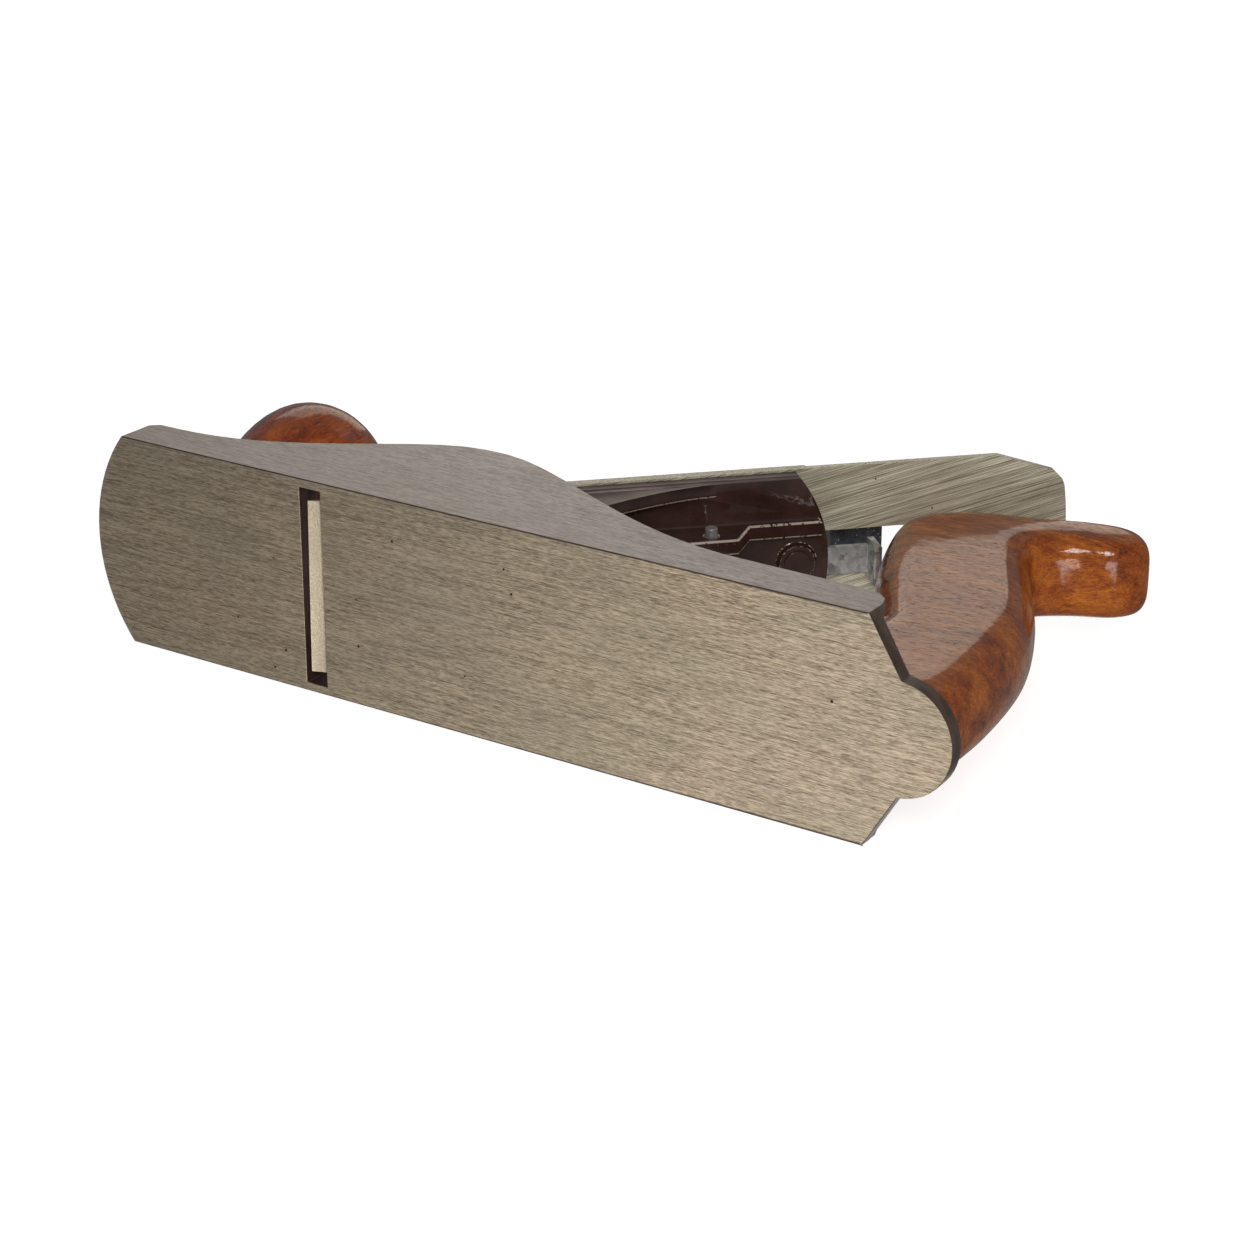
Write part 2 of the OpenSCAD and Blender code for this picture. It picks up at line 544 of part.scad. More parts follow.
// Lateral adjuster: lever riveted to the frog, with a roller in the slot of the iron
lateral_top = -0.5;
lateral_t = 1.9;
rivet_d = 5;
rivet_head_d = 6.8;
rivet_boss_d = 10.4;
roller_pin_d = 3.4;
module lateral_lever() color(zinc) on_bed() {
    translate([0, 0, lateral_top - lateral_t]) linear_extrude(lateral_t) difference() {
        union() {
            translate([0, roller_s]) circle(d = 9.6);
            translate([-lateral_w / 2, roller_s]) square([lateral_w, rivet_s - roller_s]);
            translate([0, rivet_s]) circle(d = 12);
            translate([-lateral_w / 2 - lateral_shift, rivet_s]) square([lateral_w, stem_end_s - rivet_s]);
        }
        translate([0, rivet_s]) circle(d = rivet_d + 4 * pin_gap);
    }
    translate([0, roller_s, lateral_top - 0.5]) cylinder(d = roller_pin_d, h = 2.9);
    translate([-lateral_w / 2 - lateral_shift - 1.6, stem_end_s - lateral_t, -thumb_deep])
        cube([lateral_w + 3.2, lateral_t, thumb_deep + lateral_top]);
}
module lateral_roller() color(zinc) on_bed() translate([0, roller_s, lateral_top + 0.1]) difference() {
    cylinder(d = roller_d, h = iron_t - 0.2 - lateral_top - 0.1 - 0.3);
    translate([0, 0, -1]) cylinder(d = roller_pin_d + 2 * pin_gap, h = 8);
}
module lateral_rivet() color(steel) on_bed() translate([0, rivet_s, 0]) {
    translate([0, 0, rivet_back_n - 0.6]) cylinder(d = rivet_d, h = lateral_top + 0.95 - rivet_back_n);
    translate([0, 0, rivet_back_n - 0.6]) cylinder(d = rivet_head_d, h = 0.55);
}

// Lever cap, held by its screw through a keyhole, and locked by the cam lever against a flat spring
cap_under_n = cap_n + 1.9;
cap_lip_n = cap_n + hump_h + 0.2;
cap_low_s = 13;
cap_high_s = 133;
cap_taper_s = 96;
cam_s = 127;
cam_n = cap_under_n + 5.7;
lever_side = [[cap_low_s, cap_lip_n], [cap_low_s + 6, cap_lip_n], [cap_low_s + 10, cap_lip_n - 0.7],
    [cap_low_s + 15, cap_under_n], [cap_high_s, cap_under_n], [cap_high_s, cap_under_n + lever_cap_t - 1.2],
    [cap_high_s - 6, cap_under_n + lever_cap_t], [100, cap_under_n + lever_cap_t + 0.3],
    [70, cap_under_n + lever_cap_t + 0.2], [44, cap_under_n + lever_cap_t - 0.2],
    [30, cap_under_n + lever_cap_t - 0.7], [20, cap_lip_n + 2.2], [cap_low_s + 2, cap_lip_n + 1.2],
    [cap_low_s, cap_lip_n + 0.5]];
module cap_plan() {
    hull() {
        translate([-lever_cap_w / 2, cap_low_s - 2]) square([lever_cap_w, cap_taper_s - cap_low_s + 2]);
        for (side = [-1, 1]) translate([side * (lever_cap_w / 2 - 11), cap_high_s - 5]) circle(5, $fn = 32);
    }
}
module lever_cap() color(cap_colour) on_bed() difference() {
    union() {
        intersection() {
            across(-lever_cap_w, lever_cap_w) polygon(lever_side);
            linear_extrude(40) cap_plan();
            translate([0, 150, 0]) rotate([90, 0, 0]) linear_extrude(150) polygon([
                [-lever_cap_w / 2, 0], [lever_cap_w / 2, 0], [lever_cap_w / 2, cap_under_n + 2.2],
                [lever_cap_w / 2 - 3.5, cap_under_n + 3.9], [lever_cap_w / 2 - 9, cap_under_n + 5.4],
                [9 - lever_cap_w / 2, cap_under_n + 5.4], [3.5 - lever_cap_w / 2, cap_under_n + 3.9],
                [-lever_cap_w / 2, cap_under_n + 2.2]]);
        }
        for (side = [-1, 1]) translate([side * 9.3 - 1.7, 0, 0]) {
            translate([0, cam_s, cam_n]) rotate([0, 90, 0]) cylinder(d = 8, h = 3.4);
            translate([0, cam_s - 4, cap_under_n + 1]) cube([3.4, 8, cam_n - cap_under_n - 1]);
        }
    }
    translate([0, lever_screw_s, 0]) cylinder(d = cap_screw_d + 0.6, h = 30);
    translate([-cap_screw_d / 2 - 0.3, lever_screw_s - 9, 0]) cube([cap_screw_d + 0.6, 9, 30]);
    translate([0, lever_screw_s - 9, 0]) cylinder(d = lever_head_d + 1.2, h = 30);
    translate([-7.4, cam_s - 8, 0]) cube([14.8, 40, 40]);
    translate([-8, 70, 0]) cube([16, 60, cap_under_n + 1]);
    cam_bore();
    translate([0, spring_rivet_s, 0]) cylinder(d = spring_rivet_d + 2 * pin_gap, h = 30);
}
lever_head_d = 10.6;
spring_rivet_d = 3;
module lever_cap_screw() color(steel) on_bed() translate([0, lever_screw_s, 0]) difference() {
    union() {
        translate([0, 0, -8]) cylinder(d = cap_screw_d, h = cap_under_n + lever_cap_t + 8.5);
        translate([0, 0, cap_under_n + lever_cap_t + 0.3]) cylinder(d = lever_head_d, h = 3);
    }
    translate([-8, -0.7, cap_under_n + lever_cap_t + 1.9]) cube([16, 1.4, 3]);
}
spring_t = 0.8;
spring_w = 14;
spring_n = cap_under_n - spring_t - 0.1;
spring_low_s = spring_rivet_s - 6;
module cap_spring() color(steel) on_bed() difference() {
    translate([-spring_w / 2, spring_low_s, spring_n]) cube([spring_w, cam_s + 4 - spring_low_s, spring_t]);
    translate([0, spring_rivet_s, 0]) cylinder(d = spring_rivet_d + 2 * pin_gap, h = 30);
}
module spring_rivet() color(steel) on_bed() translate([0, spring_rivet_s, 0]) {
    translate([0, 0, spring_n - 0.45]) cylinder(d = spring_rivet_d + 2, h = 0.45);
    translate([0, 0, spring_n - 0.1])
        cylinder(d = spring_rivet_d, h = cap_under_n + lever_cap_t + 0.2 - spring_n);
}
module cam_pin() color(steel) on_bed() translate([-11.2, cam_s, cam_n]) rotate([0, 90, 0])
    cylinder(d = cam_pin_d, h = 22.4);
cam_r = 4.7;
module cam_lever() color(cap_colour) on_bed() difference() {
    union() {
        translate([-7, cam_s, cam_n - 0.7]) rotate([0, 90, 0]) cylinder(r = cam_r, h = 14);
        translate([-7, cam_s - 2, cam_n]) cube([14, 8, 3.4]);
        translate([0, 0, cam_n + 0.4]) linear_extrude(3) {
            translate([-7, cam_s]) square([14, 8]);
            hull() {
                translate([-7, cam_s + 7]) square([14, 1]);
                for (side = [-1, 1]) translate([side * 4, cam_s + cam_reach - 5]) circle(5, $fn = 32);
            }
        }
    }
    cam_bore();
}
module cam_bore() {
    translate([-20, cam_s, cam_n]) rotate([0, 90, 0]) cylinder(d = cam_pin_d + 2 * pin_gap, h = 40);
}

// Cutting iron: clipped top corners, slot with a round hole near the edge, bevel on the underside
iron_top_s = edge_s + iron_l;
module iron_plan() {
    intersection() {
        polygon([[-iron_w / 2, edge_s - 2], [iron_w / 2, edge_s - 2], [iron_w / 2, iron_top_s - 19],
            [iron_w / 2 - 5, iron_top_s - 4], [iron_w / 2 - 7.6, iron_top_s - 1.6],
            [iron_w / 2 - 12, iron_top_s], [12 - iron_w / 2, iron_top_s],
            [7.6 - iron_w / 2, iron_top_s - 1.6], [5 - iron_w / 2, iron_top_s - 4],
            [-iron_w / 2, iron_top_s - 19]]);
        translate([0, iron_top_s - 90]) circle(90, $fn = 256);
    }
    translate([-iron_w / 2, edge_s - 2]) square([iron_w, iron_l - 50]);
}
module cutting_iron() color(iron_colour) on_bed() difference() {
    linear_extrude(iron_t) difference() {
        iron_plan();
        translate([0, slot_low_s]) circle(d = 19);
        translate([-slot_w / 2, slot_low_s]) square([slot_w, slot_high_s - slot_low_s]);
        translate([0, slot_high_s]) circle(d = slot_w);
    }
    translate([-iron_w / 2, edge_s, iron_t]) rotate([0, 0, edge_skew]) rotate([-bevel_angle, 0, 0])
        translate([-10, -10, -10]) cube([iron_w + 20, 30, 10]);
}

// Cap iron: flat plate with a hump that comes down close behind the cutting edge
cap_low = edge_s + 2;
hump_run = 25;
cap_iron_side = concat(
    [for (i = [0 : 12]) let (t = i / 12) [cap_low + t * hump_run, iron_t + hump_h * pow(sin(180 * t), 2)]],
    [[cap_iron_l, iron_t], [cap_iron_l, cap_n]],
    [for (i = [12 : -1 : 1]) let (t = i / 12)
        [cap_low + t * hump_run, iron_t + hump_h * pow(sin(180 * t), 2) + cap_iron_t]],
    [[cap_low, iron_t + 0.4]]);
module cap_iron() color("#8d8a84") on_bed() difference() {
    across(0.3 - iron_w / 2, iron_w / 2 - 0.3) polygon(cap_iron_side);
    translate([0, lever_screw_s + 1, 0]) slot_hole(13, 3.4, 20);
    translate([0, cap_screw_s, 0]) cylinder(d = 8 + 2 * pin_gap, h = 20);
    translate([-5.8, yoke_s - 2.9, 0]) cube([11.6, 5.8, 20]);
    for (side = [-1, 1]) translate([side * iron_w / 2, cap_iron_l, -1]) rotate([0, 0, 45])
        translate([-4, -4, 0]) cube([8, 8, 20]);
}
module cap_iron_screw() color(steel) on_bed() translate([0, cap_screw_s, 0]) difference() {
    union() {
        translate([0, 0, -3]) cylinder(d = 17, h = 3 - eps);
        translate([0, 0, -1]) cylinder(d = 8, h = 1 + cap_n + 0.3);
    }
    translate([-10, -0.8, -4]) cube([20, 1.6, 2.4]);
}

sole_body();
front_knob();
knob_stud();
knob_nut();
tote();
tote_rod();
tote_nut();
frog_screws();
frog_washers();
frog();
frog_clip();
frog_clip_screw();
frog_adjust_screw();
depth_stud();
depth_nut();
yoke();
yoke_pin();
lateral_lever();
lateral_roller();
lateral_rivet();
lever_cap_screw();
lever_cap();
cap_spring();
spring_rivet();
cam_pin();
cam_lever();
cutting_iron();
cap_iron();
cap_iron_screw();
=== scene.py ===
import math

import bmesh
import bpy
from mathutils import Matrix, Vector


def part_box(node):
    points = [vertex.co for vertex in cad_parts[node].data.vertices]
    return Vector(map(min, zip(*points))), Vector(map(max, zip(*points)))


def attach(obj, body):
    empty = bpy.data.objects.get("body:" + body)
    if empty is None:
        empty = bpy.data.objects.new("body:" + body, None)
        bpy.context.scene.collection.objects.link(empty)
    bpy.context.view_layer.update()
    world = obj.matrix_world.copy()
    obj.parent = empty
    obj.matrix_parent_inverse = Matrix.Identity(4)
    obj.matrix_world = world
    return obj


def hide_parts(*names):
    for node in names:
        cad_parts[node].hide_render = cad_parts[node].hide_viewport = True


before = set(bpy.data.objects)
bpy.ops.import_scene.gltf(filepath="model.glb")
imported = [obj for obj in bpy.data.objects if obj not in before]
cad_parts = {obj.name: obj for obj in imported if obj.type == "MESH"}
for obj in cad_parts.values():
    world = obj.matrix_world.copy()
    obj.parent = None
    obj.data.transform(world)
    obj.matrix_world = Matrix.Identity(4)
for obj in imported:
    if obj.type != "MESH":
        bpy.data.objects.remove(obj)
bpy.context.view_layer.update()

mm = 0.001
scene = bpy.context.scene
scene.view_settings.view_transform = "Standard"

# Places that several pieces share, in millimetres, as the solids have them
body = {
    "width": 56.0,
    "soleThick": 4.2,
    "cheekThick": 2.8,
    "toeCornerY": -113.2,
    "heelCornerY": 101.5,
    "bedY": -51.453,
    "bedAngle": math.radians(45),
}
bedNormal = Vector((0, -math.sin(body["bedAngle"]), math.cos(body["bedAngle"])))

# Camera at the photographed angle: the plane lies on its right cheek
camera = {
    "place": (274.0, 388.6, -533.0),
    "toward": (-0.3813, -0.5074, 0.7727),
    "upward": (0.9244, -0.2095, 0.3186),
    "lens": 87.0,
    "sensor": 36.0,
    "nearest": 0.01,  # metres, as is the next
    "farthest": 50,
}


def makeCamera(values):
    back = -Vector(values["toward"]).normalized()
    across = Vector(values["upward"]).cross(back).normalized()
    up = back.cross(across)
    lens = bpy.data.cameras.new("camera")
    lens.lens = values["lens"]
    lens.sensor_width = values["sensor"]
    lens.clip_start = values["nearest"]
    lens.clip_end = values["farthest"]
    holder = bpy.data.objects.new("camera", lens)
    holder.matrix_world = Matrix.Translation(Vector(values["place"]) * mm) @ Matrix(
        (across, up, back)).transposed().to_4x4()
    scene.collection.objects.link(holder)
    scene.camera = holder


makeCamera(camera)
print("camera set")


# Small helpers for shader trees
def feed(tree, socket, value):
    if isinstance(value, bpy.types.NodeSocket):
        tree.links.new(value, socket)
    elif isinstance(value, tuple) and socket.type == "RGBA" and len(value) == 3:
        socket.default_value = (*value, 1.0)
    else:
        socket.default_value = value


def put(tree, kind, inputs=None, **settings):
    node = tree.nodes.new("ShaderNode" + kind)
    for name, value in settings.items():
        setattr(node, name, value)
    for name, value in (inputs or {}).items():
        feed(tree, node.inputs[name], value)
    return node


def newMaterial(name, **values):
    made = bpy.data.materials.new(name)
    made.use_nodes = True
    tree = made.node_tree
    tree.nodes.clear()
    shader = put(tree, "BsdfPrincipled")
    for socket, value in values.items():
        feed(tree, shader.inputs[socket.replace("_", " ")], value)
    tree.links.new(shader.outputs[0], put(tree, "OutputMaterial").inputs[0])
    return made, tree, shader


def points(tree, size, turn=(0, 0, 0), place=(0, 0, 0)):
    # Size is that of one feature in millimetres along each axis of the turned pattern
    source = put(tree, "TexCoord").outputs["Object"]
    return put(tree, "Mapping", {
        "Vector": source,
        "Location": tuple(p * mm for p in place),
        "Rotation": tuple(math.radians(t) for t in turn),
        "Scale": tuple(s * mm for s in size),
    }, vector_type="TEXTURE").outputs[0]


def cloudy(tree, size, detail=3.0, rough=0.55, twist=0.0, turn=(0, 0, 0), place=(0, 0, 0)):
    return put(tree, "TexNoise", {
        "Vector": points(tree, size, turn, place),
        "Scale": 1.0,
        "Detail": detail,
        "Roughness": rough,
        "Distortion": twist,
    }).outputs[0]


noiseSpan = (0.3, 0.7)  # most values of a noise lie in it


def spread(tree, value, span, toLow=0.0, toHigh=1.0):
    # Values over the span go evenly from one end to the other
    return put(tree, "MapRange", {
        "Value": value, "From Min": span[0], "From Max": span[1], "To Min": toLow, "To Max": toHigh,
    }).outputs[0]


def maths(tree, operation, first, second):
    node = put(tree, "Math", operation=operation)
    feed(tree, node.inputs[0], first)
    feed(tree, node.inputs[1], second)
    return node.outputs[0]


def mixed(tree, share, first, second):
    node = put(tree, "Mix", data_type="RGBA", blend_type="MIX")
    feed(tree, node.inputs[0], share)
    feed(tree, node.inputs[6], first)
    feed(tree, node.inputs[7], second)
    return node.outputs[2]


def ramp(tree, share, stops):
    node = put(tree, "ValToRGB", {"Fac": share})
    elements = node.color_ramp.elements
    while len(elements) < len(stops):
        elements.new(0.5)
    for element, (place, colour) in zip(elements, stops):
        element.position = place
        element.color = (*colour, 1.0)
    return node.outputs[0]


def toned(tree, shade, span, dark, light):
    return ramp(tree, spread(tree, shade, span), [(0.0, dark), (1.0, light)])


def summed(tree, *patterns):
    # Patterns added up, each with its own weight
    total = None
    for value, weight in patterns:
        part = maths(tree, "MULTIPLY", value, weight)
        total = part if total is None else maths(tree, "ADD", total, part)
    return total


def bumped(tree, height, distance, strength=1.0, under=None):
    # Distance is the height of the relief in millimetres
    inputs = {"Height": height, "Distance": distance * mm, "Strength": strength}
    if under is not None:
        inputs["Normal"] = under
    return put(tree, "Bump", inputs).outputs[0]


def specks(tree, spacing, radius, share, place=(0, 0, 0), blur=0.25):
    # Round dots in a share of the cells of a random pattern; spacing in millimetres, radius in cells
    vector = points(tree, (spacing,) * 3, place=place)
    cell = put(tree, "TexVoronoi", {"Vector": vector, "Scale": 1.0})
    near = spread(tree, cell.outputs["Distance"], (radius * (1 + blur), radius * (1 - blur)))
    chance = put(tree, "SeparateColor", {"Color": cell.outputs["Color"]}).outputs[0]
    picked = maths(tree, "GREATER_THAN", chance, 1 - share)
    return maths(tree, "MULTIPLY", near, picked)


# Ground iron: fine grinding lines along the body, a few pits and bright specks
groundIron = {
    "sole": {
        "dark": (0.18, 0.138, 0.092),
        "light": (0.66, 0.525, 0.375),
        "rough": 0.42,
        "line": (0.18, 5.0, 0.18),
    },
    "cheek": {
        "dark": (0.20, 0.174, 0.172),
        "light": (0.49, 0.435, 0.438),
        "rough": 0.40,
        "line": (0.17, 4.5, 0.17),
    },
    "metal": 0.85,
    "contrast": (0.425, 0.575),
    "greenSpan": (0.35, 0.7),
    "greenMost": 0.3,
    "greenish": (0.30, 0.30, 0.225),
    "pit": (0.03, 0.025, 0.022),
    "speck": (0.95, 0.93, 0.86),
}


def makeGround(name, values):
    made, tree, shader = newMaterial(name, Metallic=groundIron["metal"])
    lines = cloudy(tree, values["line"], detail=4.0, rough=0.7, twist=0.15)
    hairs = cloudy(tree, (0.12, 1.8, 0.12), detail=2.0, rough=0.6, place=(5, 1, 2))
    longLines = cloudy(tree, (0.38, 18, 0.38), rough=0.6, place=(3, 5, 7))
    patches = cloudy(tree, (24, 40, 24))
    shade = summed(tree, (lines, 0.36), (longLines, 0.24), (hairs, 0.40))
    colour = toned(tree, shade, groundIron["contrast"], values["dark"], values["light"])
    green = spread(tree, patches, groundIron["greenSpan"], toHigh=groundIron["greenMost"])
    colour = mixed(tree, green, colour, groundIron["greenish"])
    pits = specks(tree, spacing=6.0, radius=0.06, share=0.2)
    bright = specks(tree, spacing=9.0, radius=0.035, share=0.12, place=(4, 2, 9))
    colour = mixed(tree, pits, colour, groundIron["pit"])
    colour = mixed(tree, bright, colour, groundIron["speck"])
    feed(tree, shader.inputs["Base Color"], colour)
    rough = spread(tree, lines, noiseSpan, toLow=values["rough"] + 0.1, toHigh=values["rough"] - 0.06)
    feed(tree, shader.inputs["Roughness"], rough)
    height = maths(tree, "SUBTRACT", shade, pits)
    feed(tree, shader.inputs["Normal"], bumped(tree, height, distance=0.12, strength=0.6))
    return made


# Cast iron edge that was painted thinly and rubbed: dark reddish brown
rubbedEdge = {"dark": (0.06, 0.037, 0.027), "light": (0.165, 0.108, 0.078)}


def makeRubbedEdge():
    made, tree, shader = newMaterial("rubbedEdge", Metallic=0.25, Roughness=0.36)
    blotch = cloudy(tree, (5, 9, 3), detail=5.0, rough=0.6)
    colour = toned(tree, blotch, noiseSpan, rubbedEdge["dark"], rubbedEdge["light"])
    feed(tree, shader.inputs["Base Color"], colour)
    casting = cloudy(tree, (1.4, 1.4, 1.4), detail=4.0)
    feed(tree, shader.inputs["Normal"], bumped(tree, casting, distance=0.12, strength=0.5))
    return made


# Baked maroon enamel over rough casting; the pale cream along the ridges is a painted highlight, laid on
# like enamel worn through to metal
enamel = {
    "deep": (0.029, 0.012, 0.0085),
    "high": (0.078, 0.034, 0.026),
    "wornAndHighlight": (0.84, 0.70, 0.57),
    "dust": (0.30, 0.24, 0.22),
    "dustMost": 0.5,
    "chipAndHighlightSpan": (0.58, 0.64),
    "wearAndHighlightLowers": 0.28,  # the span, at full wear
    "wornAndHighlightMetal": 0.5,
}


def makeEnamel(name, wearAndHighlight=0.0):
    made, tree, shader = newMaterial(
        name, Roughness=0.4, Coat_Weight=1.0, Coat_Roughness=0.08, Coat_IOR=1.5, Specular_IOR_Level=0.15)
    drift = cloudy(tree, (14, 14, 14), detail=4.0, rough=0.6)
    colour = toned(tree, drift, noiseSpan, enamel["deep"], enamel["high"])
    dust = specks(tree, spacing=1.5, radius=0.12, share=0.05)
    colour = mixed(tree, maths(tree, "MULTIPLY", dust, enamel["dustMost"]), colour, enamel["dust"])
    # Pale cream chips: a painted highlight on the ridges and the ring, partly enamel worn through to metal
    if wearAndHighlight:
        chipsAndHighlight = cloudy(tree, (1.1, 1.1, 1.1), detail=4.0, rough=0.65, place=(2, 7, 5))
        chipsAndHighlight = spread(tree, chipsAndHighlight, [end - enamel["wearAndHighlightLowers"] * wearAndHighlight for end in enamel["chipAndHighlightSpan"]])
        colour = mixed(tree, chipsAndHighlight, colour, enamel["wornAndHighlight"])
        feed(tree, shader.inputs["Metallic"], maths(tree, "MULTIPLY", chipsAndHighlight, enamel["wornAndHighlightMetal"]))
    feed(tree, shader.inputs["Base Color"], colour)
    peel = cloudy(tree, (2.2, 2.2, 2.2), detail=2.0, rough=0.5)
    casting = cloudy(tree, (7, 7, 7), rough=0.5)
    waves = bumped(tree, casting, distance=0.45, strength=0.5)
    normal = bumped(tree, peel, distance=0.12, strength=0.5, under=waves)
    feed(tree, shader.inputs["Normal"], normal)
    feed(tree, shader.inputs["Coat Normal"], normal)
    return made


# Outer sides of the frog: painted, then rubbed down to a purple grey
rubbedPaint = {"dark": (0.06, 0.037, 0.036), "light": (0.185, 0.128, 0.118), "contrast": (0.34, 0.66)}


def makeRubbedPaint():
    made, tree, shader = newMaterial("rubbedPaint", Metallic=0.35, Roughness=0.4)
    rub = cloudy(tree, (0.5, 9, 0.5), detail=4.0, rough=0.65, turn=(45, 0, 0))
    cloud = cloudy(tree, (8, 12, 8))
    shade = summed(tree, (rub, 0.55), (cloud, 0.45))
    colour = toned(tree, shade, rubbedPaint["contrast"], rubbedPaint["dark"], rubbedPaint["light"])
    feed(tree, shader.inputs["Base Color"], colour)
    feed(tree, shader.inputs["Normal"], bumped(tree, rub, distance=0.06, strength=0.5))
    return made


# Hardened steel of the irons: grinding scratches at a slant in degrees, and tiny pits
bladeSteel = {
    "flat": {"dark": (0.24, 0.19, 0.115), "light": (1.0, 0.95, 0.74), "slant": -13, "metal": 0.15},
    "bevel": {"dark": (0.38, 0.30, 0.20), "light": (0.70, 0.60, 0.43), "slant": 60, "metal": 0.6},
    "capIron": {"dark": (0.24, 0.22, 0.19), "light": (0.60, 0.57, 0.52), "slant": -6, "metal": 0.85},
    "contrast": (0.45, 0.55),
    "greenSpan": (0.4, 0.7),
    "greenMost": 0.3,
    "greenish": (0.33, 0.29, 0.20),
    "pit": (0.04, 0.035, 0.03),
}


def makeBladeSteel(name, values):
    made, tree, shader = newMaterial(name, Metallic=values["metal"])
    slant = Matrix.Rotation(math.radians(values["slant"]), 3, "Z")
    along = Matrix.Rotation(body["bedAngle"], 3, "X") @ slant  # the scratches lie in the blade's own plane
    turn = [math.degrees(angle) for angle in along.to_euler()]
    coarse = cloudy(tree, (0.105, 26, 0.105), detail=2.0, rough=0.6, turn=turn)
    fine = cloudy(tree, (0.07, 12, 0.07), detail=2.0, rough=0.6, turn=turn, place=(9, 2, 1))
    shade = summed(tree, (coarse, 0.6), (fine, 0.4))
    colour = toned(tree, shade, bladeSteel["contrast"], values["dark"], values["light"])
    drift = cloudy(tree, (18, 22, 18))
    green = spread(tree, drift, bladeSteel["greenSpan"], toHigh=bladeSteel["greenMost"])
    colour = mixed(tree, green, colour, bladeSteel["greenish"])
    pits = specks(tree, spacing=4.5, radius=0.06, share=0.3, place=(1, 8, 3))
    colour = mixed(tree, pits, colour, bladeSteel["pit"])
    feed(tree, shader.inputs["Base Color"], colour)
    feed(tree, shader.inputs["Roughness"], spread(tree, fine, noiseSpan, toLow=0.44, toHigh=0.32))
    feed(tree, shader.inputs["Normal"], bumped(tree, shade, distance=0.10, strength=0.5))
    return made


# Turned steel of the small screws and studs
turnedSteel = {
    "screw": {"colour": (0.56, 0.55, 0.53), "rough": 0.3},
    "oiled": {"colour": (0.25, 0.235, 0.22), "rough": 0.36},
    "darker": 0.55,  # share of the colour that the stained places keep
}


def makeTurnedSteel(name, values):
    made, tree, shader = newMaterial(name, Metallic=1.0)
    cloud = cloudy(tree, (2.4, 2.4, 2.4), detail=5.0, rough=0.65)
    stained = tuple(c * turnedSteel["darker"] for c in values["colour"])
    feed(tree, shader.inputs["Base Color"], toned(tree, cloud, noiseSpan, stained, values["colour"]))
    rough = spread(tree, cloud, noiseSpan, toLow=values["rough"] + 0.12, toHigh=values["rough"] - 0.05)
    feed(tree, shader.inputs["Roughness"], rough)
    turning = cloudy(tree, (0.7, 0.7, 0.7))
    feed(tree, shader.inputs["Normal"], bumped(tree, turning, distance=0.05, strength=0.4))
    return made


# Zinc plate: mottled grains of different lightness
zincPlate = {"dark": (0.17, 0.165, 0.16), "light": (0.66, 0.65, 0.63), "contrast": (0.25, 0.75)}


def makeZinc():
    made, tree, shader = newMaterial("zincPlate", Metallic=0.5)
    grains = put(tree, "TexVoronoi", {"Vector": points(tree, (1.6, 1.6, 1.6)), "Scale": 1.0})
    tone = put(tree, "SeparateColor", {"Color": grains.outputs["Color"]}).outputs[0]
    cloud = cloudy(tree, (3.5, 3.5, 3.5), detail=5.0, rough=0.7)
    shade = summed(tree, (tone, 0.35), (cloud, 0.65))
    colour = toned(tree, shade, zincPlate["contrast"], zincPlate["dark"], zincPlate["light"])
    feed(tree, shader.inputs["Base Color"], colour)
    feed(tree, shader.inputs["Roughness"], spread(tree, shade, noiseSpan, toLow=0.46, toHigh=0.26))
    feed(tree, shader.inputs["Normal"], bumped(tree, cloud, distance=0.10, strength=0.5))
    return made


# Nickel plate of the lever cap and the cam lever
nickelPlate = {"dark": (0.62, 0.60, 0.57), "light": (0.70, 0.69, 0.66)}


def makeNickel():
    made, tree, shader = newMaterial("nickelPlate", Metallic=1.0)
    cloud = cloudy(tree, (9, 14, 9), detail=4.0)
    rub = cloudy(tree, (0.3, 7, 0.3), rough=0.6, turn=(45, 0, 8))
    colour = toned(tree, cloud, noiseSpan, nickelPlate["dark"], nickelPlate["light"])
    feed(tree, shader.inputs["Base Color"], colour)
    feed(tree, shader.inputs["Roughness"], spread(tree, rub, noiseSpan, toLow=0.24, toHigh=0.19))
    feed(tree, shader.inputs["Normal"], bumped(tree, rub, distance=0.01, strength=0.15))
    return made


# Speckled cast underside of the same two
castUnderside = {"dark": (0.03, 0.037, 0.05), "light": (0.15, 0.17, 0.20), "speck": (0.55, 0.58, 0.62)}


def makeCastUnderside():
    made, tree, shader = newMaterial("castUnderside", Metallic=0.5, Roughness=0.42)
    cloud = cloudy(tree, (2.5, 2.5, 2.5), detail=5.0, rough=0.7)
    colour = toned(tree, cloud, noiseSpan, castUnderside["dark"], castUnderside["light"])
    pale = specks(tree, spacing=0.9, radius=0.2, share=0.2)
    colour = mixed(tree, pale, colour, castUnderside["speck"])
    feed(tree, shader.inputs["Base Color"], colour)
    casting = cloudy(tree, (0.8, 0.8, 0.8))
    feed(tree, shader.inputs["Normal"], bumped(tree, casting, distance=0.25, strength=0.7))
    return made


# Turned brass, tarnished in patches
turnedBrass = {"dark": (0.36, 0.20, 0.06), "light": (0.80, 0.56, 0.22), "contrast": (0.3, 0.72)}


def makeBrass():
    made, tree, shader = newMaterial("turnedBrass", Metallic=1.0)
    cloud = cloudy(tree, (5, 5, 5), detail=5.0, rough=0.65)
    colour = toned(tree, cloud, turnedBrass["contrast"], turnedBrass["dark"], turnedBrass["light"])
    feed(tree, shader.inputs["Base Color"], colour)
    feed(tree, shader.inputs["Roughness"], spread(tree, cloud, noiseSpan, toLow=0.34, toHigh=0.2))
    turning = cloudy(tree, (1.2, 0.4, 1.2))
    feed(tree, shader.inputs["Normal"], bumped(tree, turning, distance=0.04, strength=0.4))
    return made


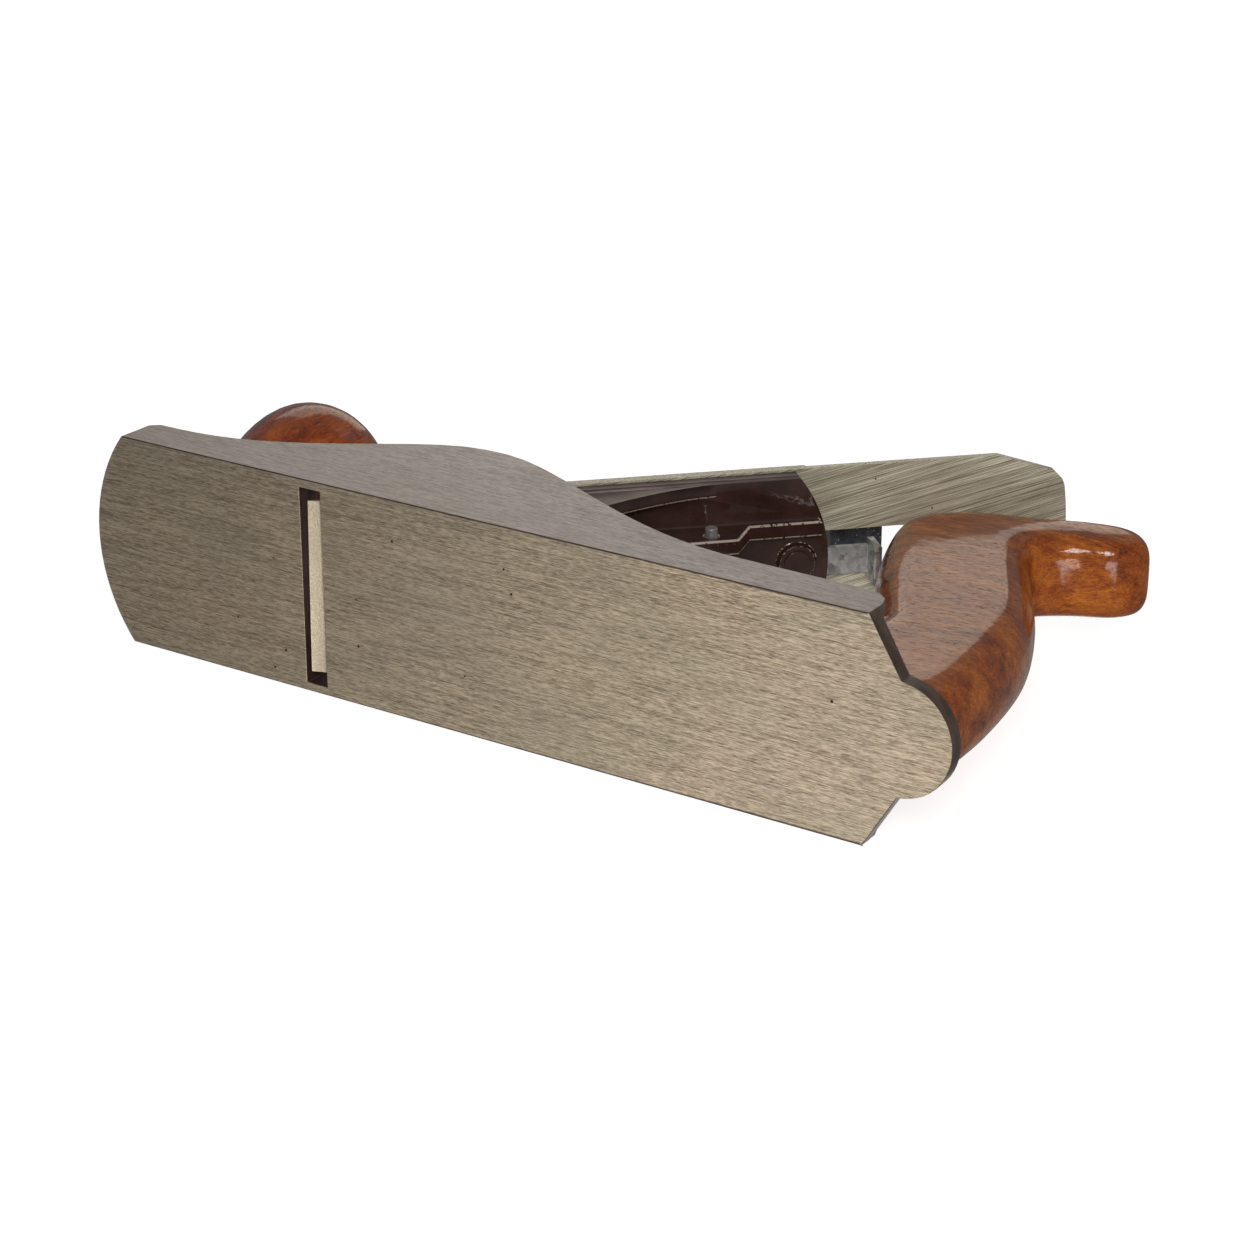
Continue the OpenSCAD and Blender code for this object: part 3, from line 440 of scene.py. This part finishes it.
# Lacquered hardwood: long fibres, dark pores, reddish brown stain
wood = {
    "deep": (0.10, 0.017, 0.002),
    "stain": (0.355, 0.074, 0.0075),
    "warm": (0.66, 0.20, 0.022),
    "pore": (0.022, 0.006, 0.003),
    "contrast": (0.38, 0.62),
    "stainAt": 0.45,
    "poreSpan": (0.60, 0.66),
    "poreMost": 0.7,
    "tote": {"turn": (8, 0, 0), "middle": (4, 60, 30), "tint": (1, 1, 1)},
    "knob": {"turn": (90, 0, 20), "middle": (3, -100, 20), "tint": (0.98, 0.72, 0.5)},
}


def makeWood(name, turn, middle, tint):
    made, tree, shader = newMaterial(
        name, Coat_Weight=1.0, Coat_Roughness=0.1, Coat_IOR=1.45, Roughness=0.6, Specular_IOR_Level=0.1)
    figure = cloudy(tree, (7, 40, 7), detail=4.0, rough=0.6, twist=0.5, turn=turn, place=middle)
    curl = cloudy(tree, (2.2, 5.5, 2.2), rough=0.6, twist=0.4, turn=turn, place=middle)
    fibre = cloudy(tree, (0.42, 9, 0.42), detail=5.0, rough=0.7, twist=0.2, turn=turn, place=middle)
    shade = summed(tree, (figure, 0.42), (fibre, 0.38), (curl, 0.20))
    colour = ramp(tree, spread(tree, shade, wood["contrast"]), [
        (place, tuple(c * t for c, t in zip(wood[tone], tint)))
        for place, tone in ((0.0, "deep"), (wood["stainAt"], "stain"), (1.0, "warm"))])
    pores = cloudy(tree, (0.2, 2.6, 0.2), detail=2.0, rough=0.5, turn=turn, place=middle)
    pores = spread(tree, pores, wood["poreSpan"])
    colour = mixed(tree, maths(tree, "MULTIPLY", pores, wood["poreMost"]), colour, wood["pore"])
    feed(tree, shader.inputs["Base Color"], colour)
    height = maths(tree, "SUBTRACT", fibre, pores)
    feed(tree, shader.inputs["Normal"], bumped(tree, height, distance=0.08, strength=0.35))
    lacquer = cloudy(tree, (5, 8, 5), detail=2.0, turn=turn, place=middle)
    grooves = bumped(tree, pores, distance=0.10, strength=0.8)
    lacquered = bumped(tree, lacquer, distance=0.22, strength=0.3, under=grooves)
    feed(tree, shader.inputs["Coat Normal"], lacquered)
    return made


materials = {
    "sole": makeGround("groundSole", groundIron["sole"]),
    "cheek": makeGround("groundCheek", groundIron["cheek"]),
    "edge": makeRubbedEdge(),
    "enamel": makeEnamel("maroonEnamel"),
    # The ridge and ring finishes carry pale cream chips: a painted highlight, partly worn enamel
    "ridge": makeEnamel("ridgeWearAndHighlight", 0.62),
    "ring": makeEnamel("ringWearAndHighlight", 0.2),
    "frogSide": makeRubbedPaint(),
    "blade": makeBladeSteel("bladeSteel", bladeSteel["flat"]),
    "bevel": makeBladeSteel("bladeBevel", bladeSteel["bevel"]),
    "capSteel": makeBladeSteel("capSteel", bladeSteel["capIron"]),
    "steel": makeTurnedSteel("screwSteel", turnedSteel["screw"]),
    "darkSteel": makeTurnedSteel("oiledSteel", turnedSteel["oiled"]),
    "zinc": makeZinc(),
    "nickel": makeNickel(),
    "underside": makeCastUnderside(),
    "brass": makeBrass(),
    "toteWood": makeWood("toteWood", **wood["tote"]),
    "knobWood": makeWood("knobWood", **wood["knob"]),
}
print("materials made")


# Turning a solid's triangles into a finished piece with broken edges
merging = {
    "weld": 0.005,  # points of the solid this near are one
    "flat": math.radians(0.5),
    "weldAfter": 0.002,
    "sharp": math.radians(32),
}


def weldedCopy(name):
    bm = bmesh.new()
    bm.from_mesh(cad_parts[name].data)
    bmesh.ops.remove_doubles(bm, verts=bm.verts, dist=merging["weld"] * mm)
    return bm


def mergedCopy(name):
    bm = weldedCopy(name)
    bmesh.ops.dissolve_limit(bm, angle_limit=merging["flat"], verts=bm.verts, edges=bm.edges)
    return bm


def anyEdge(edge):
    return True


def breakEdges(bm, width, segments=2, picked=anyEdge, finish=-1, clamp=False):
    edges = [e for e in bm.edges if e.is_manifold and e.calc_face_angle() > merging["sharp"] and picked(e)]
    low = [min(v.co[i] for v in bm.verts) for i in range(3)]
    high = [max(v.co[i] for v in bm.verts) for i in range(3)]
    bmesh.ops.bevel(
        bm, geom=edges, offset=width * mm, offset_type="OFFSET", segments=segments, profile=0.5,
        affect="EDGES", clamp_overlap=clamp, loop_slide=True, material=finish)
    for v in bm.verts:  # a bevel only takes metal away, so nothing leaves the box that was there before
        v.co = [min(max(v.co[i], low[i]), high[i]) for i in range(3)]
    bmesh.ops.remove_doubles(bm, verts=bm.verts, dist=merging["weldAfter"] * mm)


def finishPiece(bm, name, bodyName, slots, replaced, weighted=True):
    mesh = bpy.data.meshes.new(name)
    bm.to_mesh(mesh)
    bm.free()
    for slot in slots:
        mesh.materials.append(materials[slot])
    mesh.shade_smooth()
    piece = bpy.data.objects.new(name, mesh)
    scene.collection.objects.link(piece)
    if weighted:
        piece.modifiers.new("flat faces", "WEIGHTED_NORMAL").keep_sharp = True
    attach(piece, bodyName)
    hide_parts(replaced)


def paintFaces(bm, finishes, pick):
    # Pick names a face's finish from its normal and its middle in millimetres
    for face in bm.faces:
        face.material_index = finishes.index(pick(face.normal, face.calc_center_median() / mm))


# Body casting: ground sole and cheeks, rubbed toe and tail edges, enamel inside
bodyLook = {
    "finishes": ["sole", "cheek", "edge", "enamel"],
    "edge": 0.22,
    "near": 0.3,  # an edge this near to the sole and to a cheek's outside is where the two meet
    "onPlane": 0.5,  # a face this near to the sole or to a cheek's outside lies in it
    "pastInside": 0.1,  # the cheek's rim begins this far outside its painted inner face
    "pastCorner": 1.0,
    "downward": 0.9,  # from here on limits of a normal's part along an axis
    "sideways": 0.5,
    "upright": 0.2,
}


def bodyFace(normal, middle):
    outside = body["width"] / 2 - bodyLook["onPlane"]
    inside = body["width"] / 2 - body["cheekThick"] + bodyLook["pastInside"]
    if normal.z < -bodyLook["downward"] and middle.z < bodyLook["onPlane"]:
        return "sole"
    if abs(middle.x) > inside and (abs(middle.x) > outside or abs(normal.x) < bodyLook["sideways"]):
        return "cheek"
    atToe = middle.y < body["toeCornerY"] + bodyLook["pastCorner"]
    atTail = middle.y > body["heelCornerY"] - bodyLook["pastCorner"]
    upright = abs(normal.z) < bodyLook["upright"]
    if (atToe or atTail) and upright and middle.z < body["soleThick"]:
        return "edge"
    return "enamel"


def soleCorner(edge):
    low = bodyLook["near"] * mm
    beside = (body["width"] / 2 - bodyLook["near"]) * mm
    return all(v.co.z < low and abs(v.co.x) > beside for v in edge.verts)


def makeBody():
    bm = mergedCopy("sole_body")
    paintFaces(bm, bodyLook["finishes"], bodyFace)
    breakEdges(bm, bodyLook["edge"], picked=soleCorner, finish=bodyLook["finishes"].index("edge"))
    breakEdges(bm, bodyLook["edge"])
    finishPiece(bm, "bodyCasting", "body", bodyLook["finishes"], "sole_body")


# Frog: rubbed outer sides, bare bed face, enamel elsewhere, and pale cream on the ridges and round the rivet
# boss as a painted highlight with worn enamel
frogLook = {
    "finishes": ["enamel", "cheek", "frogSide", "ridge", "ring"],
    "halfWidth": 22.0,
    "edge": 0.3,
    "ridge": 0.5,
    "ring": 0.35,
    "behindPlate": 5.0,  # ridges and the ring lie deeper than this below the bed
    "aboveFoot": 30.0,
    "rivetPlace": (0, 33.046, 84.499),
    "ringReach": 6.0,
    "bossFrom": 7.0,
    "bossLift": 3.1,
    "bossShare": 0.885,
    "onSide": 0.2,
    "onBed": 0.3,
    "webFrom": 0.5,  # a web's ridges lie farther in than this from the outer sides
    "sideways": 0.9,  # from here on limits of a direction's part along an axis
    "bedward": 0.95,
    "across": 0.3,
}


def underBed(place):
    return (Vector((0, body["bedY"], 0)) - place).dot(bedNormal)


def frogFace(normal, middle):
    if abs(middle.x) > frogLook["halfWidth"] - frogLook["onSide"] and abs(normal.x) > frogLook["sideways"]:
        return "frogSide"
    if normal.dot(bedNormal) > frogLook["bedward"] and underBed(middle) < frogLook["onBed"]:
        return "cheek"
    return "enamel"


def ridgeEdge(edge):
    # The long edges that face away from the bed
    along = (edge.verts[0].co - edge.verts[1].co).normalized()
    middle = (edge.verts[0].co + edge.verts[1].co) / 2 / mm
    deep = underBed(middle) > frogLook["behindPlate"]
    inside = abs(middle.x) < frogLook["halfWidth"] - frogLook["webFrom"] and middle.z > frogLook["aboveFoot"]
    return abs(along.x) < frogLook["across"] and deep and edge.is_convex and inside


def fromRivet(place):
    # Depth below the rivet's middle and the offset across it, in millimetres
    offset = place / mm - Vector(frogLook["rivetPlace"])
    depth = offset.dot(bedNormal)
    return -depth, offset - bedNormal * depth


def ringEdge(edge):
    depth, across = fromRivet((edge.verts[0].co + edge.verts[1].co) / 2)
    return across.length < frogLook["ringReach"] and depth > frogLook["behindPlate"]


def lowerBoss(bm, share=1.0):
    # The ring of metal round the lateral rivet, and the rivet's end, stand low behind the plate
    for v in bm.verts:
        depth, across = fromRivet(v.co)
        if depth > frogLook["bossFrom"] and across.length < frogLook["ringReach"]:
            v.co += (bedNormal * frogLook["bossLift"] + across * (share - 1)) * mm


def makeFrog():
    bm = mergedCopy("frog")
    lowerBoss(bm, frogLook["bossShare"])
    paintFaces(bm, frogLook["finishes"], frogFace)
    # The ring and ridge edges get the finishes with the painted highlight
    breakEdges(bm, frogLook["ring"], 2, ringEdge, frogLook["finishes"].index("ring"), clamp=True)
    breakEdges(bm, frogLook["ridge"], 3, ridgeEdge, frogLook["finishes"].index("ridge"))
    breakEdges(bm, frogLook["edge"], 3, clamp=True)
    finishPiece(bm, "frogCasting", "frog_body", frogLook["finishes"], "frog")


# Plain metal pieces: node, body, width of the broken edge, finish and slot
metalPieces = {
    "frog_screws": ("body", 0.25, "darkSteel", "steel"),
    "frog_washers": ("body", 0.15, "zinc", "zinc"),
    "frog_clip": ("frog_body", 0.2, "zinc", "zinc"),
    "frog_clip_screw": ("frog_body", 0.15, "steel", "steel"),
    "frog_adjust_screw": ("adjust_screw", 0.2, "steel", "steel"),
    "yoke": ("yoke_body", 0.35, "darkSteel", "steel"),
    "yoke_pin": ("frog_body", 0.25, "zinc", "zinc"),
    "lateral_lever": ("lateral", 0.2, "zinc", "zinc"),
    "lateral_roller": ("lateral", 0.2, "zinc", "zinc"),
    "lateral_rivet": ("frog_body", 0.2, "enamel", "steel"),
    "lever_cap_screw": ("frog_body", 0.3, "steel", "steel"),
    "cap_spring": ("cap", 0.1, "steel", "steel"),
    "spring_rivet": ("cap", 0.1, "steel", "steel"),
    "cam_pin": ("cap", 0.2, "steel", "steel"),
    "cap_iron": ("iron", 0.12, "capSteel", "cap_steel"),
    "cap_iron_screw": ("iron", 0.25, "darkSteel", "steel"),
    "knob_nut": ("body", 0.2, "brass", "brass"),
    "tote_nut": ("body", 0.2, "brass", "brass"),
}


def makeMetalPieces():
    for node, (bodyName, width, finish, slotName) in metalPieces.items():
        bm = mergedCopy(node)
        if node == "lateral_rivet":
            lowerBoss(bm)
        breakEdges(bm, width)
        name = node.replace("_", " ").title().replace(" ", "")
        finishPiece(bm, name, bodyName, [finish], node)


# Lever cap and cam lever, plated outside, speckled casting underneath: node, name, body and broken edge
platedPieces = [
    ("lever_cap", "leverCap", "cap", 0.35),
    ("cam_lever", "camLever", "cam", 0.3),
]
capLook = {"finishes": ["nickel", "underside"], "bedward": 0.7}


def capFace(normal, middle):
    return "underside" if normal.dot(bedNormal) < -capLook["bedward"] else "nickel"


def makeCap():
    for node, name, bodyName, width in platedPieces:
        bm = mergedCopy(node)
        paintFaces(bm, capLook["finishes"], capFace)
        breakEdges(bm, width, 3)
        finishPiece(bm, name, bodyName, capLook["finishes"], node)


# Cutting iron: scratched flats and a smoother ground bevel
ironLook = {"finishes": ["blade", "bevel"], "edge": 0.08, "bevelTop": 8.0, "downward": 0.5}


def ironFace(normal, middle):
    return "bevel" if middle.z < ironLook["bevelTop"] and normal.z < -ironLook["downward"] else "blade"


def makeIron():
    bm = mergedCopy("cutting_iron")
    paintFaces(bm, ironLook["finishes"], ironFace)
    breakEdges(bm, ironLook["edge"], 1)
    finishPiece(bm, "cuttingIron", "iron", ironLook["finishes"], "cutting_iron")


# Wooden tote: its flat sides filled anew inside their rims, then voxels smoothed into an even surface
toteLook = {
    "flatFrom": 10.0,  # the flat sides lie farther out than this
    "sideways": 0.9,  # least part of their normals along x
    "voxel": 0.7,
    "passes": 34,
    "footKept": 0.5,
    "rodPlace": (0, 103, 0),
    "rodLean": math.radians(15),
    "nutReach": 9.0,  # the recess of the nut keeps its shape: this far round the rod and above this height
    "nutAbove": 80.0,
}


def filledTote():
    bm = weldedCopy("tote")
    far = toteLook["flatFrom"] * mm
    sideways = [f for f in bm.faces if abs(f.normal.x) > toteLook["sideways"]]
    flat = [f for f in sideways if abs(f.calc_center_median().x) > far]
    bmesh.ops.delete(bm, geom=flat, context="FACES")
    for side in (-1, 1):
        rim = [e for e in bm.edges if e.is_boundary and e.verts[0].co.x * side > 0]
        bmesh.ops.triangle_fill(bm, edges=rim, use_beauty=True)
    bmesh.ops.recalc_face_normals(bm, faces=bm.faces)
    return bm


def voxelled(bm):
    mesh = bpy.data.meshes.new("toteBlank")
    bm.to_mesh(mesh)
    bm.free()
    blank = bpy.data.objects.new("toteBlank", mesh)
    scene.collection.objects.link(blank)
    voxels = blank.modifiers.new("voxels", "REMESH")
    voxels.mode = "VOXEL"
    voxels.voxel_size = toteLook["voxel"] * mm
    bpy.context.view_layer.update()
    shaped = bpy.data.meshes.new_from_object(blank.evaluated_get(bpy.context.evaluated_depsgraph_get()))
    bpy.data.objects.remove(blank)
    bm = bmesh.new()
    bm.from_mesh(shaped)
    return bm


def inNutRecess(place):
    lean = Vector((0, -math.sin(toteLook["rodLean"]), math.cos(toteLook["rodLean"])))
    offset = place - Vector(toteLook["rodPlace"]) * mm
    near = (offset - lean * offset.dot(lean)).length <= toteLook["nutReach"] * mm
    return near and place.z >= toteLook["nutAbove"] * mm


def makeTote():
    bm = voxelled(filledTote())
    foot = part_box("tote")[0][2] + toteLook["footKept"] * mm
    free = [v for v in bm.verts if v.co.z > foot and not inNutRecess(v.co)]
    for _ in range(toteLook["passes"]):
        bmesh.ops.smooth_vert(bm, verts=free, factor=0.5, use_axis_x=True, use_axis_y=True, use_axis_z=True)
    finishPiece(bm, "tote", "body", ["toteWood"], "tote", weighted=False)


# Turned knob
def makeKnob():
    bm = mergedCopy("front_knob")
    finishPiece(bm, "frontKnob", "body", ["knobWood"], "front_knob", weighted=False)


# Depth nut: turned from a profile of radius and place along its axis, with teeth cut along its two rims
depthNut = {
    "teeth": 84,
    "toothDeep": 0.45,
    "onRim": 0.1,
    "turned": [
        (3.05, 0), (8.2, 0), (8.5, 0.3), (8.5, 1.8), (6, 1.8), (6, 7.2), (11.7, 7.2), (12.3, 7.4),
        (14, 8.4), (14, 10.6), (12.9, 11.4), (12.9, 12.6), (14, 13.4), (14, 16.6), (13.6, 17.3),
        (12.4, 18.2), (11.6, 18.1), (10, 16.6), (6.4, 17.1), (5.6, 18.6), (5.2, 19.2), (3.05, 19.2)],
}


def makeDepthNut():
    low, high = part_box("depth_nut")
    middle = (Vector(low) + Vector(high)) / 2
    rim = (high[0] - low[0]) / 2
    bm = bmesh.new()
    ring = [bm.verts.new((r * mm, low[1] + y * mm, middle.z)) for r, y in depthNut["turned"]]
    edges = [bm.edges.new(ends) for ends in zip(ring, ring[1:] + ring[:1])]
    steps = 2 * depthNut["teeth"]
    bmesh.ops.spin(
        bm, geom=ring + edges, cent=(0, 0, middle.z), axis=(0, 1, 0), angle=2 * math.pi, steps=steps,
        use_merge=True)
    bmesh.ops.recalc_face_normals(bm, faces=bm.faces)
    for v in bm.verts:
        out = Vector((v.co.x, 0, v.co.z - middle.z))
        place = round(math.atan2(out.z, out.x) / (2 * math.pi) * steps)
        if out.length > rim - depthNut["onRim"] * mm and place % 2:
            v.co -= out.normalized() * depthNut["toothDeep"] * mm
    finishPiece(bm, "depthNut", "nut", ["brass"], "depth_nut")


# Depth stud: one turn of the thread as core, flank, crest, flank, wound around the axis
depthStud = {
    "core": 2.45,
    "pitch": 1.25,
    "steps": 28,
    "crestFrom": 0.42,
    "crestTo": 0.58,
    "weld": 0.004,
}


def makeDepthStud():
    low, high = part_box("depth_stud")
    middle = (Vector(low) + Vector(high)) / 2
    crest = (high[0] - low[0]) / 2
    core = depthStud["core"] * mm
    pitch = depthStud["pitch"] * mm
    turns = int((high[1] - low[1]) / pitch) - 1
    steps = depthStud["steps"] * turns
    bm = bmesh.new()
    shape = [(core, 0), (crest, depthStud["crestFrom"]), (crest, depthStud["crestTo"]), (core, 1)]
    thread = [bm.verts.new((r, low[1] + share * pitch, middle.z)) for r, share in shape]
    edges = [bm.edges.new(ends) for ends in zip(thread, thread[1:])]
    bmesh.ops.spin(
        bm, geom=thread + edges, cent=(0, 0, middle.z), axis=(0, 1, 0), dvec=(0, turns * pitch / steps, 0),
        angle=2 * math.pi * turns, steps=steps)
    bmesh.ops.remove_doubles(bm, verts=bm.verts, dist=depthStud["weld"] * mm)
    bmesh.ops.holes_fill(bm, edges=[e for e in bm.edges if e.is_boundary], sides=0)
    bmesh.ops.recalc_face_normals(bm, faces=bm.faces)
    finishPiece(bm, "depthStud", "frog_body", ["steel"], "depth_stud", weighted=False)


# Rods inside the wood stay as the solids have them
plainNodes = {"knob_stud": "steel", "tote_rod": "steel"}


def makePlainNodes():
    for node, finish in plainNodes.items():
        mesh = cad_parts[node].data
        mesh.materials.clear()
        mesh.materials.append(materials[finish])


makeBody()
makeFrog()
makeMetalPieces()
makeCap()
makeIron()
makeTote()
makeKnob()
makeDepthNut()
makeDepthStud()
makePlainNodes()
print("pieces made")


# Studio: a pale floor that only the camera sees, soft boxes and an even, dim room
studio = {
    "roomLight": 0.18,
    "roomColour": (0.97, 0.98, 1.0),
    "aim": (0, 20, 30),
    "floorSize": 6,  # metres
    "floorGlow": 0.8,
    "floorPaper": 0.75,
    "besideCheek": 28.3,
    "underSole": 0.3,
    "lights": {
        "overSide": {"toward": (0.40, -0.50, 0.77), "away": 0.95, "size": (0.44, 0.74), "radiance": 1.08,
                     "colour": (1.0, 0.94, 0.81)},
        "overHeel": {"toward": (0.70, 0.15, 0.70), "away": 0.95, "size": (0.30, 0.30), "radiance": 0.35},
        "nearCamera": {"toward": (0.50, 0.50, -0.70), "away": 1.0, "size": (0.30, 0.30), "radiance": 13.0},
        "pastSole": {"toward": (-0.41, -0.15, -0.80), "away": 0.55, "size": (0.28, 0.28), "radiance": 2.6},
        "underHorn": {"toward": (-0.17, 0.68, -0.71), "away": 0.8, "size": (0.26, 0.30), "radiance": 5.0},
        "overTail": {"toward": (-0.45, 0.08, 0.89), "away": 1.0, "size": (0.40, 0.40), "radiance": 0.14,
                     "colour": (1.0, 0.85, 0.66)},
        "farSide": {"toward": (-0.66, -0.38, 0.65), "away": 1.0, "size": (0.60, 0.60), "radiance": 1.4},
        "pastToe": {"toward": (-0.68, -0.68, -0.22), "away": 1.0, "size": (0.45, 0.45), "radiance": 1.0},
    },
}


def makeRoom():
    world = bpy.data.worlds.new("room")
    world.use_nodes = True
    tree = world.node_tree
    tree.nodes.clear()
    seen = put(tree, "Background", {"Color": (1, 1, 1), "Strength": 1.0})
    room = put(tree, "Background", {"Color": studio["roomColour"], "Strength": studio["roomLight"]})
    choice = put(tree, "MixShader", {"Fac": put(tree, "LightPath").outputs["Is Camera Ray"]})
    tree.links.new(room.outputs[0], choice.inputs[1])
    tree.links.new(seen.outputs[0], choice.inputs[2])
    tree.links.new(choice.outputs[0], put(tree, "OutputWorld").inputs[0])
    scene.world = world


def makeLight(name, values):
    lamp = bpy.data.lights.new(name, "AREA")
    lamp.shape = "RECTANGLE"
    lamp.size, lamp.size_y = values["size"]
    lamp.energy = values["radiance"] * math.pi * lamp.size * lamp.size_y
    lamp.color = values.get("colour", (1, 1, 1))
    holder = bpy.data.objects.new(name, lamp)
    toward = Vector(values["toward"]).normalized()
    holder.location = Vector(studio["aim"]) * mm + toward * values["away"]
    holder.rotation_euler = toward.to_track_quat("Z", "Y").to_euler()
    holder.visible_camera = False
    scene.collection.objects.link(holder)


def makeFloor(name, place, turn):
    made = bpy.data.materials.new(name)
    made.use_nodes = True
    tree = made.node_tree
    tree.nodes.clear()
    glow = put(tree, "Emission", {"Color": (1, 1, 1), "Strength": studio["floorGlow"]})
    paper = put(tree, "BsdfDiffuse", {"Color": (studio["floorPaper"],) * 3})
    both = put(tree, "AddShader")
    tree.links.new(glow.outputs[0], both.inputs[0])
    tree.links.new(paper.outputs[0], both.inputs[1])
    oneSide = put(tree, "MixShader", {"Fac": put(tree, "NewGeometry").outputs["Backfacing"]})
    tree.links.new(both.outputs[0], oneSide.inputs[1])
    tree.links.new(put(tree, "BsdfTransparent").outputs[0], oneSide.inputs[2])
    tree.links.new(oneSide.outputs[0], put(tree, "OutputMaterial").inputs[0])
    bm = bmesh.new()
    laid = Matrix.Translation(Vector(place) * mm) @ turn
    bmesh.ops.create_grid(bm, x_segments=1, y_segments=1, size=studio["floorSize"], matrix=laid)
    mesh = bpy.data.meshes.new(name)
    bm.to_mesh(mesh)
    bm.free()
    mesh.materials.append(made)
    floor = bpy.data.objects.new(name, mesh)
    floor.visible_diffuse = floor.visible_glossy = floor.visible_transmission = floor.visible_shadow = False
    scene.collection.objects.link(floor)


makeRoom()
for name, values in studio["lights"].items():
    makeLight(name, values)
makeFloor("floorBesideCheek", (-studio["besideCheek"], 0, 0), Matrix.Rotation(math.radians(90), 4, "Y"))
makeFloor("floorUnderSole", (0, 0, -studio["underSole"]), Matrix.Identity(4))
print("studio lit")
